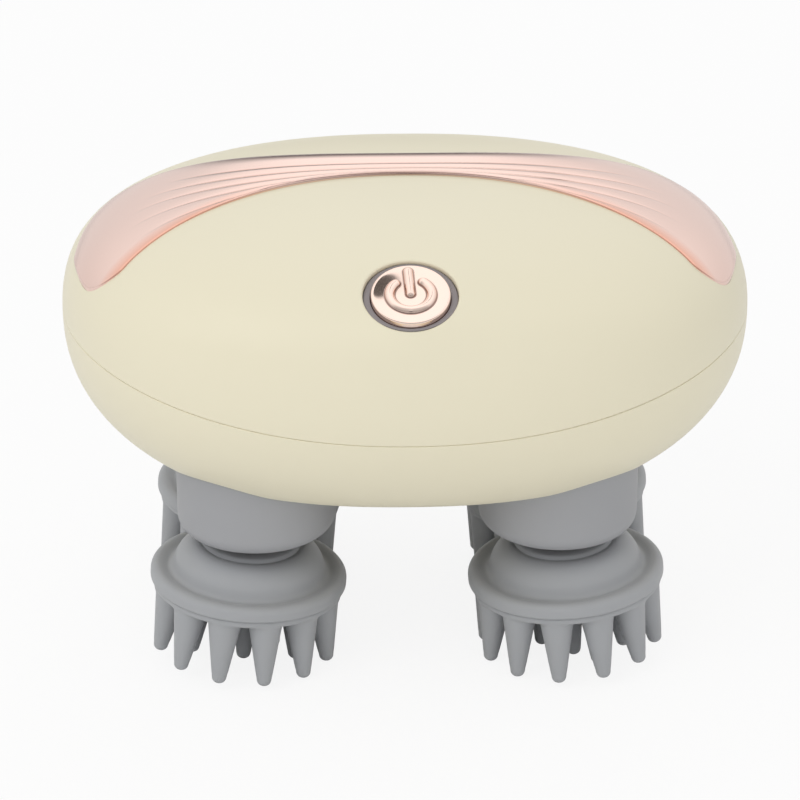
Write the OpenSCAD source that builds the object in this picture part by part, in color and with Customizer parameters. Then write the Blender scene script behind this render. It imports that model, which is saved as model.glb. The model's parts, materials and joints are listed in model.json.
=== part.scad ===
// Electric scalp massager. Two moulded shells hold a motor, a battery and a gear train
// that turns four kneading heads of soft fingers. Every head sits on a crank pin that
// leans outwards, so it wobbles as it turns.
// The origin is under the middle of the body, on the plane of the lowest fingertips.
// +X is the right-hand side, -Y the front with the power button, +Z up. Millimetres.

/* [Body] */
// Width of the body from side to side
body_w = 136; // [134:1:146]
// Depth of the body from front to back
body_d = 106; // [104:1:116]
// Height of the crown above the widest section
crown_h = 24.8; // [24:0.2:30]
// Depth that the belly's curve would reach under the widest section
belly_h = 39.5; // [38:0.5:44]
// Depth of the flat underside below the widest section
belly_cut = 28.6; // [28:0.2:31]
// Squareness of the outline seen from above
plan_power = 2.3; // [2.2:0.05:2.8]
// Squareness of the crown seen from the front
crown_power = 2.7; // [2.5:0.05:3.2]
// Squareness of the belly seen from the front
belly_power = 2.18; // [2.1:0.02:2.6]
// Wall of both shells
shell_wall = 2.4; // [1.8:0.1:2.8]
// Drop of the parting line below the widest section, at the front
part_drop = 8.8; // [6:0.2:10]
// Rise of the parting line from the front to the sides
part_rise = 9.9; // [6:0.1:12]
// Height of the tongue that locates the two shells
lip_h = 1.6; // [1:0.1:2.4]

/* [Trim band] */
// Front edge of the band behind the middle of the crown
band_front = 3.2; // [2:0.2:5]
// Rear edge of the band behind the middle of the crown
band_rear = 14.1; // [12:0.1:17]
// Reach of the band's front corner to the side
band_reach = 58; // [54:0.5:59]
// Sweep of the front edge towards the front at the tips
band_sweep = 29.8; // [24:0.1:31]
// Height of the band over the crown
band_t = 0.7; // [0.5:0.1:1.2]
// Height of the ribs on the band
rib_h = 0.45; // [0.2:0.05:0.8]
// Number of grooves along the band
groove_count = 5; // [3:1:6]

/* [Button] */
// Radius of the power button
button_r = 7.9; // [7:0.1:8.6]
// Distance of the button behind the front edge of the body
button_back = 10.3; // [9:0.1:12]
// Lean of the button towards the front, in degrees
button_tilt = 24; // [22:0.5:26]
// Travel of the button
button_travel = 0.8; // [0.4:0.1:0.8]
// Width of the ring seen round the button
bezel_w = 1.6; // [1:0.1:2.2]
// Depth of the ring below the face of the button
bezel_drop = 1.2; // [0.8:0.1:1.6]

/* [Heads] */
// Distance between the front and rear head axes
head_pitch_y = 40.4; // [40.2:0.1:42]
// Lean of a head's axis from the vertical, in degrees
head_tilt = 4.3; // [2:0.1:5]
// Height of the point where a leaning axis meets its shaft, over the rim
pivot_h = 24.5; // [22:0.5:24.5]
// Radius of the rim of a head
rim_r = 19.6; // [18:0.1:19.8]
// Half thickness of the rim
rim_half = 1.5; // [1.2:0.1:1.7]
// Radius of the foot of the bell
bell_r = 15.2; // [14:0.1:15.5]
// Radius of the shoulder of the bell
shoulder_r = 10.2; // [9.6:0.1:11]
// Height of the shoulder over the middle of the rim
shoulder_h = 6.8; // [6:0.1:8]
// Radius of the neck in the bell's mouth
neck_r = 7.1; // [6:0.1:7.6]
// Wall of the soft bell
bell_wall = 1.6; // [1.2:0.1:2]
// Radius of the collar that each head runs in
collar_r = 15.75; // [15:0.05:16.5]
// Wall of a collar
collar_wall = 1.8; // [1.4:0.1:2.4]
// Gap from the middle of the rim up to the collar
collar_gap = 10.6; // [10.2:0.1:13]
// Height of collar that shows under the body
collar_drop = 11.7; // [11:0.1:15]

/* [Fingers] */
// Reach of the fingertips below the middle of the rim
finger_reach = 16.6; // [13:0.1:18]
// Radius of a fingertip
tip_r = 1.3; // [1:0.05:1.5]
// Root radius of the outer fingers
root_r = 3.3; // [2.8:0.05:3.3]
// Radius of the ring of outer fingertips
tip_ring = 17.2; // [16.4:0.1:17.6]
// Radius of the ring of outer finger roots
root_ring = 15.3; // [15:0.05:15.4]
// Thickness of the pad that carries the fingers
pad_t = 1.6; // [1:0.1:2]
// Turn of the finger pattern on the left heads, in degrees
left_turn = -1.1; // [-10:0.1:10]
// Turn of the finger pattern on the right heads, in degrees
right_turn = 4.1; // [-10:0.1:10]

/* [Gear train] */
// Module of all the gears
gear_module = 1; // [0.98:0.01:1.02]
// Teeth of the drive gear and of the idler
drive_teeth = 21; // [20:1:22]
// Teeth of the gear on each head
head_teeth = 35; // [34:1:36]
// Width of the gear teeth
gear_face = 4.5; // [3.5:0.1:4.8]
// Thinning of each tooth for play
backlash = 0.16; // [0.1:0.02:0.3]
// Radius of a head's shaft
shaft_r = 3; // [2.6:0.1:3.4]
// Radius of the drive shaft and of the idler's axle
axle_r = 2.5; // [2:0.1:3]
// Radial play of a running fit
run_play = 0.05; // [0.02:0.01:0.08]
// Radial play of a fixed fit
fit_play = 0.02; // [0.01:0.01:0.04]

/* [Chassis] */
// Thickness of the two gearbox plates
plate_t = 2.2; // [1.8:0.1:2.6]
// Radius of the motor
motor_r = 12; // [10:0.5:13]
// Height of the motor
motor_h = 17.5; // [14:0.5:18]
// Radius of the battery cell
cell_r = 9.2; // [9:0.05:9.3]
// Length of the battery cell
cell_l = 65; // [60:1:66]

/* [Hidden] */
$fn = 48;

// Sides of the four heads: [left -1 or right 1, front -1 or rear 1]
FL = [-1, -1];
FR = [1, -1];
RL = [-1, 1];
RR = [1, 1];
HEADS = [FL, FR, RL, RR];

// Colours
cream = "#e6dfc3";
rose = "#e3b7a3";
grey = "#a0a1a4";
finger_grey = "#acadaf";
dark = "#4a403e";
steel = "#b9bcc0";
bronze = "#b08a4a";
white_gear = "#ecebe4";
board_green = "#2f6b46";

// Fingers
lean_cos = cos(head_tilt);
lean_sin = sin(head_tilt);
outer_count = 12;
middle_count = 8;
inner_count = 4;
outer_step = 360 / outer_count;
tip_turn = min(abs(outer_step / 2 - abs(left_turn)), abs(outer_step / 2 - abs(right_turn)));
tip_mid = finger_reach - tip_r;
rim_z = tip_r + tip_mid * lean_cos + tip_ring * lean_sin * cos(tip_turn);
pad_top = -rim_half;
pad_face = pad_top - pad_t;
root_sink = 0.6;
finger_root = pad_face + root_sink;

// Heights of the body
pivot_z = rim_z + pivot_h * lean_cos;
collar_z = rim_z + collar_gap;
base_z = collar_z + collar_drop;
widest_z = base_z + belly_cut;
half_w = body_w / 2;
half_d = body_d / 2;

// Gear train in plan
drive_rp = gear_module * drive_teeth / 2;
head_rp = gear_module * head_teeth / 2;
drive_x = drive_rp;
head_y = head_pitch_y / 2;
head_x = drive_x + sqrt(pow(drive_rp + head_rp, 2) - head_y * head_y);
pressure = 20;

// Gear train in height
base_room = 9.7;
plate_z = base_z + base_room;
plate_top = plate_z + plate_t;
bush_flange = 0.6;
end_play = 0.1;
hub_z = plate_top + bush_flange + end_play;
hub_step = 0.6;
gear_z = hub_z + hub_step;
hub_top = gear_z + gear_face + hub_step;
cover_z = hub_top + end_play + bush_flange;
cover_top = cover_z + plate_t;
bush_wall = 1.7;
bush_lip = 1.2;
boss_wall = 2;
bush_r = shaft_r + bush_wall;
bush_flange_r = bush_r + bush_lip;
boss_r = bush_r + boss_wall;
boss_drop = 5.4;
boss_rise = 1.6;
seal_h = 2;
seal_gap = 0.3;
shaft_top = cover_top + boss_rise - seal_gap;
gear_hub_wall = 2.4;
gear_hub_r = shaft_r + gear_hub_wall;
pinion_hub_r = axle_r + gear_hub_wall;
flat_depth = 0.6;

// Fasteners
screw_r = 1.25;
screw_clear = 1.5;
screw_head_r = 2.4;
screw_head_h = 1.5;
pillar_r = 3.2;
pillar_beside = 20.3;
pillar_beyond = 9.6;
pillar_x = head_x + pillar_beside;
pillar_y = head_y + pillar_beyond;
pillars = [[0, -pillar_y], [0, pillar_y], [-pillar_x, 0], [pillar_x, 0]];
case_beside = 5.6;
case_x = head_x + collar_r + case_beside;
case_y = 12;
well_h = 7.4;
case_points = [[-case_x, -case_y], [case_x, -case_y], [-case_x, case_y], [case_x, case_y]];
case_sunk = 2;
case_split = cover_z - case_sunk;
split_gap = 0.2;
case_bite = 8;
pilot_r = screw_r - 0.05;
thread_r = screw_r - 0.07;
head_play = 0.3;

// The collar's cup is thicker at its root. Its screws sit midway between that and the boss
collar_root = 0.6;
collar_disc = 2;
collar_in = collar_r - collar_wall - collar_root;
collar_screw_ring = (boss_r + collar_in) / 2;

// Motor, gearhead and battery
gearhead_x = -4.5;
gearhead_wall = 1.5;
gearhead_r = motor_r + gearhead_wall;
gearhead_h = 8.2;
motor_z = cover_top + gearhead_h;
ear_r = 2.8;
ear_t = 1.6;
ear_gap = 0.2;
ear_ring = gearhead_r + ear_r + ear_gap;
ear_turn = 150;
cell_y = 28;
cell_floor = 2;
cell_z = cover_top + cell_floor + cell_r;

// Button
button_y = half_d - button_back;
button_z = widest_z + crown_at(0, -button_y);
hole_r = button_r + bezel_w;
button_play = 0.12;
bezel_hole_r = button_r + button_play;
face_lift = 0.1;
ring_top = face_lift - bezel_drop;
ring_t = 1.3;
flange_t = 0.8;
flange_w = 0.7;
flange_top = ring_top - ring_t - end_play;
stem_h = 0.7;
stem_end = flange_top - flange_t - stem_h;
switch_h = 2.6;
plunger_h = 0.8;
board_top = stem_end - button_travel - end_play - plunger_h - switch_h;
board_t = 1.6;
board_w = 30;
board_d = 15;
post_x = 12.2;
post_y = 5;

// Charging socket at the back
port_z = widest_z + 1.5;
port_y = half_d;
socket_w = 9;
socket_h = 3.3;
socket_l = 7.3;
slot_w = 8.3;
slot_h = 2.6;
slot_deep = 6.4;
plug_w = 13;
plug_h = 7;
plug_t = 1.3;
plug_gap = 0.12;

// ---- Surfaces of the body -------------------------------------------------------

// Sides of the outline and rows of the shells
around = 64;
crown_rows = 9;
belly_rows = 6;

function sgn(v) = v < 0 ? -1 : 1;
function plan_x(u) = sgn(cos(u)) * pow(abs(cos(u)), 2 / plan_power);
function plan_y(u) = sgn(sin(u)) * pow(abs(sin(u)), 2 / plan_power);

// Angle of a height on the surface that lies `deep` inside the skin: 90 on top, 0 at the widest
function turn_of(z, deep) = z >= widest_z
    ? asin(pow(min(1, (z - widest_z) / (crown_h - deep)), crown_power / 2))
    : -asin(pow(min(1, (widest_z - z) / (belly_h - deep)), belly_power / 2));
function height_of(t, deep) = t >= 0
    ? widest_z + (crown_h - deep) * pow(sin(t), 2 / crown_power)
    : widest_z - (belly_h - deep) * pow(sin(-t), 2 / belly_power);
function share_of(t) = pow(cos(t), 2 / (t >= 0 ? crown_power : belly_power));
function skin(u, t, deep) = [
    (half_w - deep) * share_of(t) * plan_x(u),
    (half_d - deep) * share_of(t) * plan_y(u),
    height_of(t, deep)
];
function part_z(u) = widest_z - part_drop + part_rise * pow(plan_x(u), 2);

// One ring of a shell between the parting line, raised by `lift`, and the angle `end`
function ring(deep, lift, end, part) = [
    for (i = [0 : around - 1])
        let (u = i * 360 / around, start = turn_of(part_z(u) + lift, deep))
        skin(u, start + (end - start) * part, deep)
];

// Height of the crown over the widest section at a point of the plan
function plan_share(x, y) = pow(
    pow(abs(x) / half_w, plan_power) + pow(abs(y) / half_d, plan_power), 1 / plan_power);
function crown_at(x, y) = crown_h * pow(1 - pow(plan_share(x, y), crown_power), 1 / crown_power);

// Height of the belly's skin at a point of the plan
function belly_at(x, y) = max(base_z, widest_z
    - belly_h * pow(1 - pow(min(1, plan_share(x, y)), belly_power), 1 / belly_power));

// Outward direction of the crown there, and the point `out` above its skin
function slope(v, half) = sgn(v) * pow(abs(v) / half, plan_power - 1) / half;
function crown_normal(x, y) =
    let (
        q = pow(plan_share(x, y), crown_power - plan_power),
        n = [q * slope(x, half_w), q * slope(y, half_d),
            pow(crown_at(x, y) / crown_h, crown_power - 1) / crown_h]
    ) n / norm(n);
function over_crown(p, out) =
    [p[0], p[1], widest_z + crown_at(p[0], p[1])] + out * crown_normal(p[0], p[1]);

// Height of the crown over the button's own plane, at a point of that plane
function skin_over_button(x, y) =
    (crown_at(x, y * cos(button_tilt) - button_y) - crown_at(0, -button_y) - y * sin(button_tilt))
        * cos(button_tilt);

// A closed solid from rings between two end points. Faces turn clockwise seen from outside.
module loft(rings, first, last) {
    n = len(rings[0]);
    m = len(rings);
    points = concat([first], [for (r = rings) each r], [last]);
    faces = concat(
        [for (i = [0 : n - 1]) [0, 1 + (i + 1) % n, 1 + i]],
        [for (j = [0 : m - 2], i = [0 : n - 1])
            let (a = 1 + j * n + i, b = 1 + j * n + (i + 1) % n)
            each [[a, b, b + n], [a, b + n, a + n]]],
        [for (i = [0 : n - 1]) [m * n + 1, 1 + (m - 1) * n + i, 1 + (m - 1) * n + (i + 1) % n]]);
    polyhedron(points, faces);
}

// Plan outline of the body at a share of its size, as a flat plate
module plan_plate(share_w, share_d, h) {
    linear_extrude(h)
        polygon([for (i = [0 : around - 1])
            [share_w * plan_x(i * 360 / around), share_d * plan_y(i * 360 / around)]]);
}

module at_button() {
    translate([0, -button_y, button_z]) rotate([button_tilt, 0, 0]) children();
}

// Pillar that stands in the wall of the belly and reaches up to the height `top`
module belly_pillar(p, top) {
    foot = belly_at(p[0], p[1]) + 0.6 * shell_wall;
    translate([p[0], p[1], foot]) linear_extrude(top - foot) circle(r = pillar_r);
}

// Frame of a leaning head: the middle of its rim, with +Z up its crank pin
module at_head(side) {
    translate([side[0] * head_x, side[1] * head_y, pivot_z])
        rotate([0, -side[0] * head_tilt, 0])
            translate([0, 0, -pivot_h]) children();
}

module at_shaft(side) {
    translate([side[0] * head_x, side[1] * head_y, 0]) children();
}

// ---- Shells ---------------------------------------------------------------------

tongue_in = shell_wall * 0.5;
tongue_play = 0.1;

module upper_skin() {
    seat = lip_h + 0.2;
    groove = tongue_in - tongue_play;
    loft(
        concat(
            [for (k = [crown_rows - 1 : -1 : 0]) ring(0, 0, 90, k / crown_rows)],
            [ring(groove, 0, 90, 0), ring(groove, seat, 90, 0)],
            [for (k = [0 : crown_rows - 1]) ring(shell_wall, seat, 90, k / crown_rows)]
        ),
        [0, 0, widest_z + crown_h],
        [0, 0, widest_z + crown_h - shell_wall]
    );
}

module lower_skin() {
    outside = turn_of(base_z, 0);
    inside = turn_of(base_z + shell_wall, shell_wall);
    loft(
        concat(
            [for (k = [belly_rows : -1 : 0]) ring(shell_wall, lip_h, inside, k / belly_rows)],
            [ring(tongue_in, lip_h, inside, 0), ring(tongue_in, 0, inside, 0)],
            [for (k = [0 : belly_rows]) ring(0, 0, outside, k / belly_rows)]
        ),
        [0, 0, base_z + shell_wall],
        [0, 0, base_z]
    );
}

// Slot and recess of the charging port, cut through the back of the shell
module port_cut() {
    translate([-plug_w / 2 - plug_gap, port_y - plug_t - plug_gap, port_z - plug_h / 2 - plug_gap])
        cube([plug_w + 2 * plug_gap, plug_t + 4, plug_h + 2 * plug_gap]);
    translate([-socket_w / 2 - plug_gap, port_y - plug_t - socket_l, port_z - socket_h / 2 - plug_gap])
        cube([socket_w + 2 * plug_gap, socket_l + 1, socket_h + 2 * plug_gap]);
}

module upper_shell() {
    color(cream) difference() {
        union() {
            upper_skin();
            for (p = case_points)
                translate([p[0], p[1], case_split + split_gap])
                    cylinder(r = pillar_r, h = widest_z + crown_at(p[0], p[1])
                        - 0.6 * shell_wall - case_split - split_gap);
            at_button()
                for (sx = [-1, 1], sy = [-1, 1])
                    translate([sx * post_x, sy * post_y, board_top])
                        cylinder(r = 2.1, h = skin_over_button(sx * post_x, sy * post_y)
                            - 0.55 * shell_wall - board_top);
            translate([-socket_w / 2 - 2, port_y - plug_t - socket_l - 1.2, port_z - socket_h / 2 - 2])
                cube([socket_w + 4, socket_l, socket_h + 4]);
        }
        at_button() translate([0, 0, -6]) cylinder(r = hole_r, h = 10);
        at_button()
            for (sx = [-1, 1], sy = [-1, 1])
                translate([sx * post_x, sy * post_y, board_top - 1]) cylinder(r = 0.8, h = 3.4);
        for (p = case_points)
            translate([p[0], p[1], case_split - 1]) cylinder(r = pilot_r, h = 12);
        port_cut();
    }
}

module lower_shell() {
    color(cream) difference() {
        union() {
            lower_skin();
            for (p = case_points)
                belly_pillar(p, case_split);
            for (p = pillars)
                belly_pillar(p, plate_z);
        }
        for (s = HEADS)
            at_shaft(s) translate([0, 0, base_z - 2]) cylinder(r = collar_r + 0.25, h = 14);
        for (p = pillars)
            translate([p[0], p[1], plate_z - 6]) cylinder(r = pilot_r, h = 7);
        for (p = case_points) {
            translate([p[0], p[1], base_z - 1]) cylinder(r = screw_head_r + head_play, h = well_h + 1);
            translate([p[0], p[1], base_z]) cylinder(r = screw_clear, h = 20);
        }
    }
}

// ---- Trim band ------------------------------------------------------------------

band_stations = 24;
band_across = 2 * (groove_count + 1);
band_lift = 0.15;
tail_bow = 8.5;
tail_drop = 36;
tail_reach = half_w - 2.6;

function band_front_edge(s) = [band_reach * s, band_front - band_sweep * pow(abs(s), 2.2)];
function band_rear_edge(s) = [
    tail_reach * sin(90 * s),
    band_rear + tail_bow * pow(sin(108 * s), 2) - tail_drop * pow(abs(s), 5)
];
// The ends of the paddles are rounded by moving their last stations
function band_station(s, w) = s * (1 + pow(abs(s), 8) * (0.02 - 0.09 * pow(abs(2 * w - 1), 4)));
function band_point(s, w, out) =
    let (t = band_station(s, w), a = band_front_edge(t), b = band_rear_edge(t))
    over_crown(a + (b - a) * w, out);

// Share of the width at which groove k runs. The grooves fan out backwards from the crown.
function groove_at(k, s) =
    let (f = (k - 1) / (groove_count - 1))
    max(0.016 * k, -0.06 + 0.544 * f * f + (0.27 + 0.42 * sin(150 * f)) * s * s);
function row_edge(k, s) = k == 0 ? 0 : k > groove_count ? 1 : groove_at(k, s);
// Even rows lie in the grooves and on the edges, odd rows on the ribs between them
function row_at(j, s) = (row_edge(floor(j / 2), s) + row_edge(ceil(j / 2), s)) / 2;
// Ribs stand high over the crown and fade into the smooth paddles
function rib_fade(s) = max(0, 1 - pow(abs(s) / 0.85, 3));
function band_face(s) = band_t * (1 - 0.3 * s * s);
// Stations lie closer together towards the tips, where the crown is steep
function eased(i) = let (v = i / band_stations - 1) 0.5 * (v + sin(90 * v));

module trim_band() {
    n = band_across;
    m = 2 * band_stations;
    top = [for (i = [0 : m], j = [0 : n])
        let (s = eased(i))
        band_point(s, row_at(j, s), band_face(s) + (j % 2 == 1 ? rib_h * rib_fade(s) : 0))];
    under = [for (i = [0 : m], j = [0 : n])
        let (s = eased(i))
        band_point(s, row_at(j, s), band_lift)];
    k = len(top);
    w = n + 1;
    faces = concat(
        [for (i = [0 : m - 1], j = [0 : n - 1]) let (a = i * w + j)
            each [[a, a + 1, a + 1 + w], [a, a + 1 + w, a + w]]],
        [for (i = [0 : m - 1], j = [0 : n - 1]) let (a = k + i * w + j)
            each [[a, a + 1 + w, a + 1], [a, a + w, a + 1 + w]]],
        [for (i = [0 : m - 1]) let (a = i * w) each [[a, a + w, a + w + k], [a, a + w + k, a + k]]],
        [for (i = [0 : m - 1]) let (a = i * w + n)
            each [[a, a + w + k, a + w], [a, a + k, a + w + k]]],
        [for (j = [0 : n - 1]) each [[j, j + 1 + k, j + 1], [j, j + k, j + 1 + k]]],
        [for (j = [0 : n - 1]) let (a = m * w + j)
            each [[a, a + 1, a + 1 + k], [a, a + 1 + k, a + k]]]);
    color(rose) polyhedron(concat(top, under), faces);
}

// ---- Button ---------------------------------------------------------------------

symbol_r = 4;
symbol_tube = 0.7;
symbol_end = 0.73;
symbol_gap = 40;

module button_bezel() {
    color(dark) at_button() difference() {
        union() {
            translate([0, 0, ring_top - ring_t]) cylinder(r = hole_r - 0.1, h = ring_t);
            translate([0, 0, ring_top - ring_t - 2.6]) cylinder(r = hole_r - 0.1, h = 2.7);
        }
        translate([0, 0, ring_top - ring_t - 3]) cylinder(r = button_r + 0.9, h = 3);
        translate([0, 0, ring_top - ring_t - 0.1]) cylinder(r = bezel_hole_r, h = ring_t + 1);
    }
}

// A polished cap with a raised power mark, a flange that holds it in and a stem
module power_button() {
    stem_r = 2.6;
    color(rose) at_button() {
        rotate_extrude()
            polygon([
                [0, stem_end], [stem_r, stem_end], [stem_r, flange_top - flange_t],
                [button_r + flange_w, flange_top - flange_t], [button_r + flange_w, flange_top],
                [button_r, flange_top],
                [button_r, face_lift - 0.3], [button_r - 0.3, face_lift], [button_r - 1.1, face_lift - 0.02],
                [button_r - 3, face_lift - 0.16], [0, face_lift - 0.2]
            ]);
        translate([0, 0, face_lift - 0.15]) {
            rotate([0, 0, 90 + symbol_gap])
                rotate_extrude(angle = 360 - 2 * symbol_gap)
                    translate([symbol_r, 0]) circle(r = symbol_tube, $fn = 24);
            for (s = [-1, 1])
                rotate([0, 0, 90 + s * symbol_gap])
                    translate([symbol_r, 0, 0]) sphere(r = symbol_end, $fn = 24);
            translate([0, 0.6, 0]) rotate([-90, 0, 0]) cylinder(r = symbol_tube, h = 4.9, $fn = 24);
            for (y = [0.6, 5.5])
                translate([0, y, 0]) sphere(r = symbol_end, $fn = 24);
        }
    }
}

module button_switch() {
    color(dark) at_button() {
        translate([-3, -3, board_top]) cube([6, 6, switch_h]);
        translate([0, 0, board_top + switch_h]) cylinder(r = 1.7, h = plunger_h);
    }
}

module main_board() {
    color(board_green) at_button() difference() {
        union() {
            translate([-board_w / 2, -board_d / 2, board_top - board_t]) cube([board_w, board_d, board_t]);
            translate([-9, -2.5, board_top - board_t - 1.2]) cube([5, 5, 1.2]);
            translate([3, -3, board_top - board_t - 2.4]) cube([7, 4, 2.4]);
        }
        for (sx = [-1, 1], sy = [-1, 1])
            translate([sx * post_x, sy * post_y, board_top - board_t - 1]) cylinder(r = 1.1, h = 4);
    }
}

// ---- Chassis --------------------------------------------------------------------

// Room round the two plates: the belly draws in below, so the base is the smaller one
base_inset = [14, 11];
cover_inset = [12, 9];
axle_boss = 1.4;

module case_notches(z) {
    for (p = case_points)
        translate([p[0], p[1], z]) cylinder(r = pillar_r + 0.6, h = plate_t + 2);
}

module gearbox_base() {
    color(grey) difference() {
        union() {
            translate([0, 0, plate_z]) plan_plate(half_w - base_inset[0], half_d - base_inset[1], plate_t);
            for (s = HEADS)
                at_shaft(s) translate([0, 0, plate_z - boss_drop])
                    cylinder(r = boss_r, h = boss_drop + 0.1);
            for (s = [-1, 1])
                translate([s * drive_x, 0, plate_z - axle_boss])
                    cylinder(r = pinion_hub_r, h = axle_boss + 0.1);
            for (p = pillars)
                translate([p[0], p[1], plate_top - 0.1])
                    cylinder(r = pillar_r, h = cover_z - plate_top + 0.1);
        }
        for (s = HEADS)
            at_shaft(s) {
                translate([0, 0, plate_z - boss_drop - 1]) cylinder(r = bush_r + fit_play, h = 12);
                for (k = [0 : 2])
                    rotate([0, 0, 120 * k + 90]) translate([collar_screw_ring, 0, plate_z - 1])
                        cylinder(r = pilot_r, h = plate_t + 2);
            }
        translate([-drive_x, 0, plate_z - 0.2]) cylinder(r = axle_r + run_play, h = plate_t + 1);
        translate([drive_x, 0, plate_z - 0.2]) cylinder(r = axle_r + fit_play, h = plate_t + 1);
        for (p = pillars)
            translate([p[0], p[1], plate_z - 1]) cylinder(r = screw_clear, h = 20);
        case_notches(plate_z - 1);
    }
}

module gearbox_cover() {
    color(grey) difference() {
        union() {
            translate([0, 0, cover_z]) plan_plate(half_w - cover_inset[0], half_d - cover_inset[1], plate_t);
            for (s = HEADS)
                at_shaft(s) translate([0, 0, cover_top - 0.1]) cylinder(r = boss_r, h = boss_rise + 0.1);
        }
        for (s = HEADS)
            at_shaft(s) translate([0, 0, cover_z - 1]) cylinder(r = bush_r + fit_play, h = 8);
        translate([-drive_x, 0, cover_z - 1]) cylinder(r = axle_r + 0.4, h = plate_t + 2);
        translate([drive_x, 0, cover_z - 1]) cylinder(r = axle_r + fit_play, h = plate_t + 2);
        for (p = pillars)
            translate([p[0], p[1], cover_z - 1]) cylinder(r = screw_clear, h = 6);
        at_ears() translate([0, 0, cover_z - 1]) cylinder(r = 0.9, h = 6);
        case_notches(cover_z - 1);
    }
}

module lower_bush(side) {
    color(bronze) at_shaft(side) difference() {
        union() {
            translate([0, 0, plate_z - boss_drop + seal_h + seal_gap])
                cylinder(r = bush_r, h = plate_t + boss_drop - seal_h - seal_gap + bush_flange);
            translate([0, 0, plate_top]) cylinder(r = bush_flange_r, h = bush_flange);
        }
        translate([0, 0, plate_z - boss_drop]) cylinder(r = shaft_r + run_play, h = 12);
    }
}

module upper_bush(side) {
    color(bronze) at_shaft(side) difference() {
        union() {
            translate([0, 0, cover_z - bush_flange])
                cylinder(r = bush_r, h = bush_flange + plate_t + boss_rise);
            translate([0, 0, cover_z - bush_flange]) cylinder(r = bush_flange_r, h = bush_flange);
        }
        translate([0, 0, cover_z - bush_flange - 1]) cylinder(r = shaft_r + run_play, h = 8);
    }
}

module shaft_seal(side) {
    color(dark) at_shaft(side) translate([0, 0, plate_z - boss_drop]) difference() {
        cylinder(r = bush_r, h = seal_h);
        translate([0, 0, -1]) cylinder(r = shaft_r + run_play, h = seal_h + 2);
    }
}

// Inverted cup, screwed up to the base plate, that each head wobbles under
module collar(side) {
    edge = 3.4;
    mouth = collar_r - edge - 0.4;
    color(grey) at_shaft(side) difference() {
        rotate_extrude()
            polygon(concat(
                [[collar_r - collar_wall, collar_z]],
                [for (a = [-90 : 15 : 0]) [collar_r - edge + edge * cos(a), collar_z + edge + edge * sin(a)]],
                [[collar_r, plate_z], [boss_r + end_play, plate_z],
                    [boss_r + end_play, plate_z - collar_disc],
                    [collar_in, plate_z - collar_disc], [collar_in, collar_z + edge + 1.6],
                    [mouth, collar_z + edge - 0.4], [mouth, collar_z]]));
        for (k = [0 : 2])
            rotate([0, 0, 120 * k + 90]) translate([collar_screw_ring, 0, plate_z - collar_disc - 1])
                cylinder(r = screw_clear, h = collar_disc + 2);
    }
}

// ---- Gears ----------------------------------------------------------------------

function involute(a) = tan(a) * 180 / PI - a;
// Half the angle of a tooth at the radius r
function half_tooth(teeth, r) =
    let (rp = gear_module * teeth / 2, a = acos(min(1, rp * cos(pressure) / r)))
    90 / teeth - backlash / 4 / rp * 180 / PI + involute(pressure) - involute(a);
function polar(r, a) = [r * cos(a), r * sin(a)];

module gear_shape(teeth, phase) {
    rp = gear_module * teeth / 2;
    tip = rp + gear_module;
    root = rp - 1.25 * gear_module;
    base = max(root + 0.05, rp * cos(pressure));
    steps = 4;
    flank = [for (k = [0 : steps]) base + (tip - base) * k / steps];
    polygon([for (t = [0 : teeth - 1])
        let (mid = phase + t * 360 / teeth)
        each concat(
            [polar(root, mid - half_tooth(teeth, base))],
            [for (r = flank) polar(r, mid - half_tooth(teeth, r))],
            [for (k = [steps : -1 : 0]) polar(flank[k], mid + half_tooth(teeth, flank[k]))],
            [polar(root, mid + half_tooth(teeth, base))])]);
}

// Phase of a wheel that meshes with another: a tooth of one meets a gap of the other
function mesh_phase(teeth, back, mate_teeth, mate_phase, ahead) =
    back - 360 / teeth * (0.5 - mate_teeth * (ahead - mate_phase) / 360);
function head_phase(side) =
    let (to_head = atan2(side[1] * head_y, side[0] * (head_x - drive_x)))
    mesh_phase(head_teeth, to_head + 180, drive_teeth, 0, to_head);

// Round hole or shaft with one flat, on the side of +X
module d_shape(r) {
    intersection() {
        circle(r = r);
        translate([-2 * r, -2 * r]) square([3 * r - flat_depth, 4 * r]);
    }
}

module spur_gear(teeth, phase, hub_r, bore, holes, flat) {
    difference() {
        union() {
            translate([0, 0, gear_z]) linear_extrude(gear_face) gear_shape(teeth, phase);
            translate([0, 0, hub_z]) cylinder(r = hub_r, h = hub_top - hub_z);
        }
        translate([0, 0, hub_z - 1])
            if (flat) linear_extrude(hub_top - hub_z + 2) d_shape(bore);
            else cylinder(r = bore, h = hub_top - hub_z + 2);
        for (k = [0 : 1 : holes - 1])
            rotate([0, 0, 360 * k / holes]) translate([head_rp * 0.61, 0, gear_z - 1])
                cylinder(r = 3, h = gear_face + 2);
    }
}

module head_gear(side) {
    color(white_gear) at_shaft(side)
        spur_gear(head_teeth, head_phase(side), gear_hub_r, shaft_r + fit_play, 6, true);
}

module drive_gear() {
    color(white_gear) translate([-drive_x, 0, 0])
        spur_gear(drive_teeth, 0, pinion_hub_r, axle_r + fit_play, 0, true);
}

module idler_gear() {
    color(white_gear) translate([drive_x, 0, 0])
        spur_gear(drive_teeth, 0, pinion_hub_r, axle_r + run_play, 0, false);
}

module idler_axle() {
    color(steel) translate([drive_x, 0, plate_z - 0.2]) cylinder(r = axle_r, h = cover_top - plate_z + 0.2);
}

module drive_shaft() {
    color(steel) translate([-drive_x, 0, 0]) {
        translate([0, 0, plate_z]) cylinder(r = axle_r, h = hub_z - plate_z);
        translate([0, 0, hub_z]) linear_extrude(hub_top - hub_z) d_shape(axle_r);
        translate([0, 0, hub_top]) cylinder(r = axle_r, h = cover_top + 3 - hub_top);
    }
}

// ---- Motor and battery ----------------------------------------------------------

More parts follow.
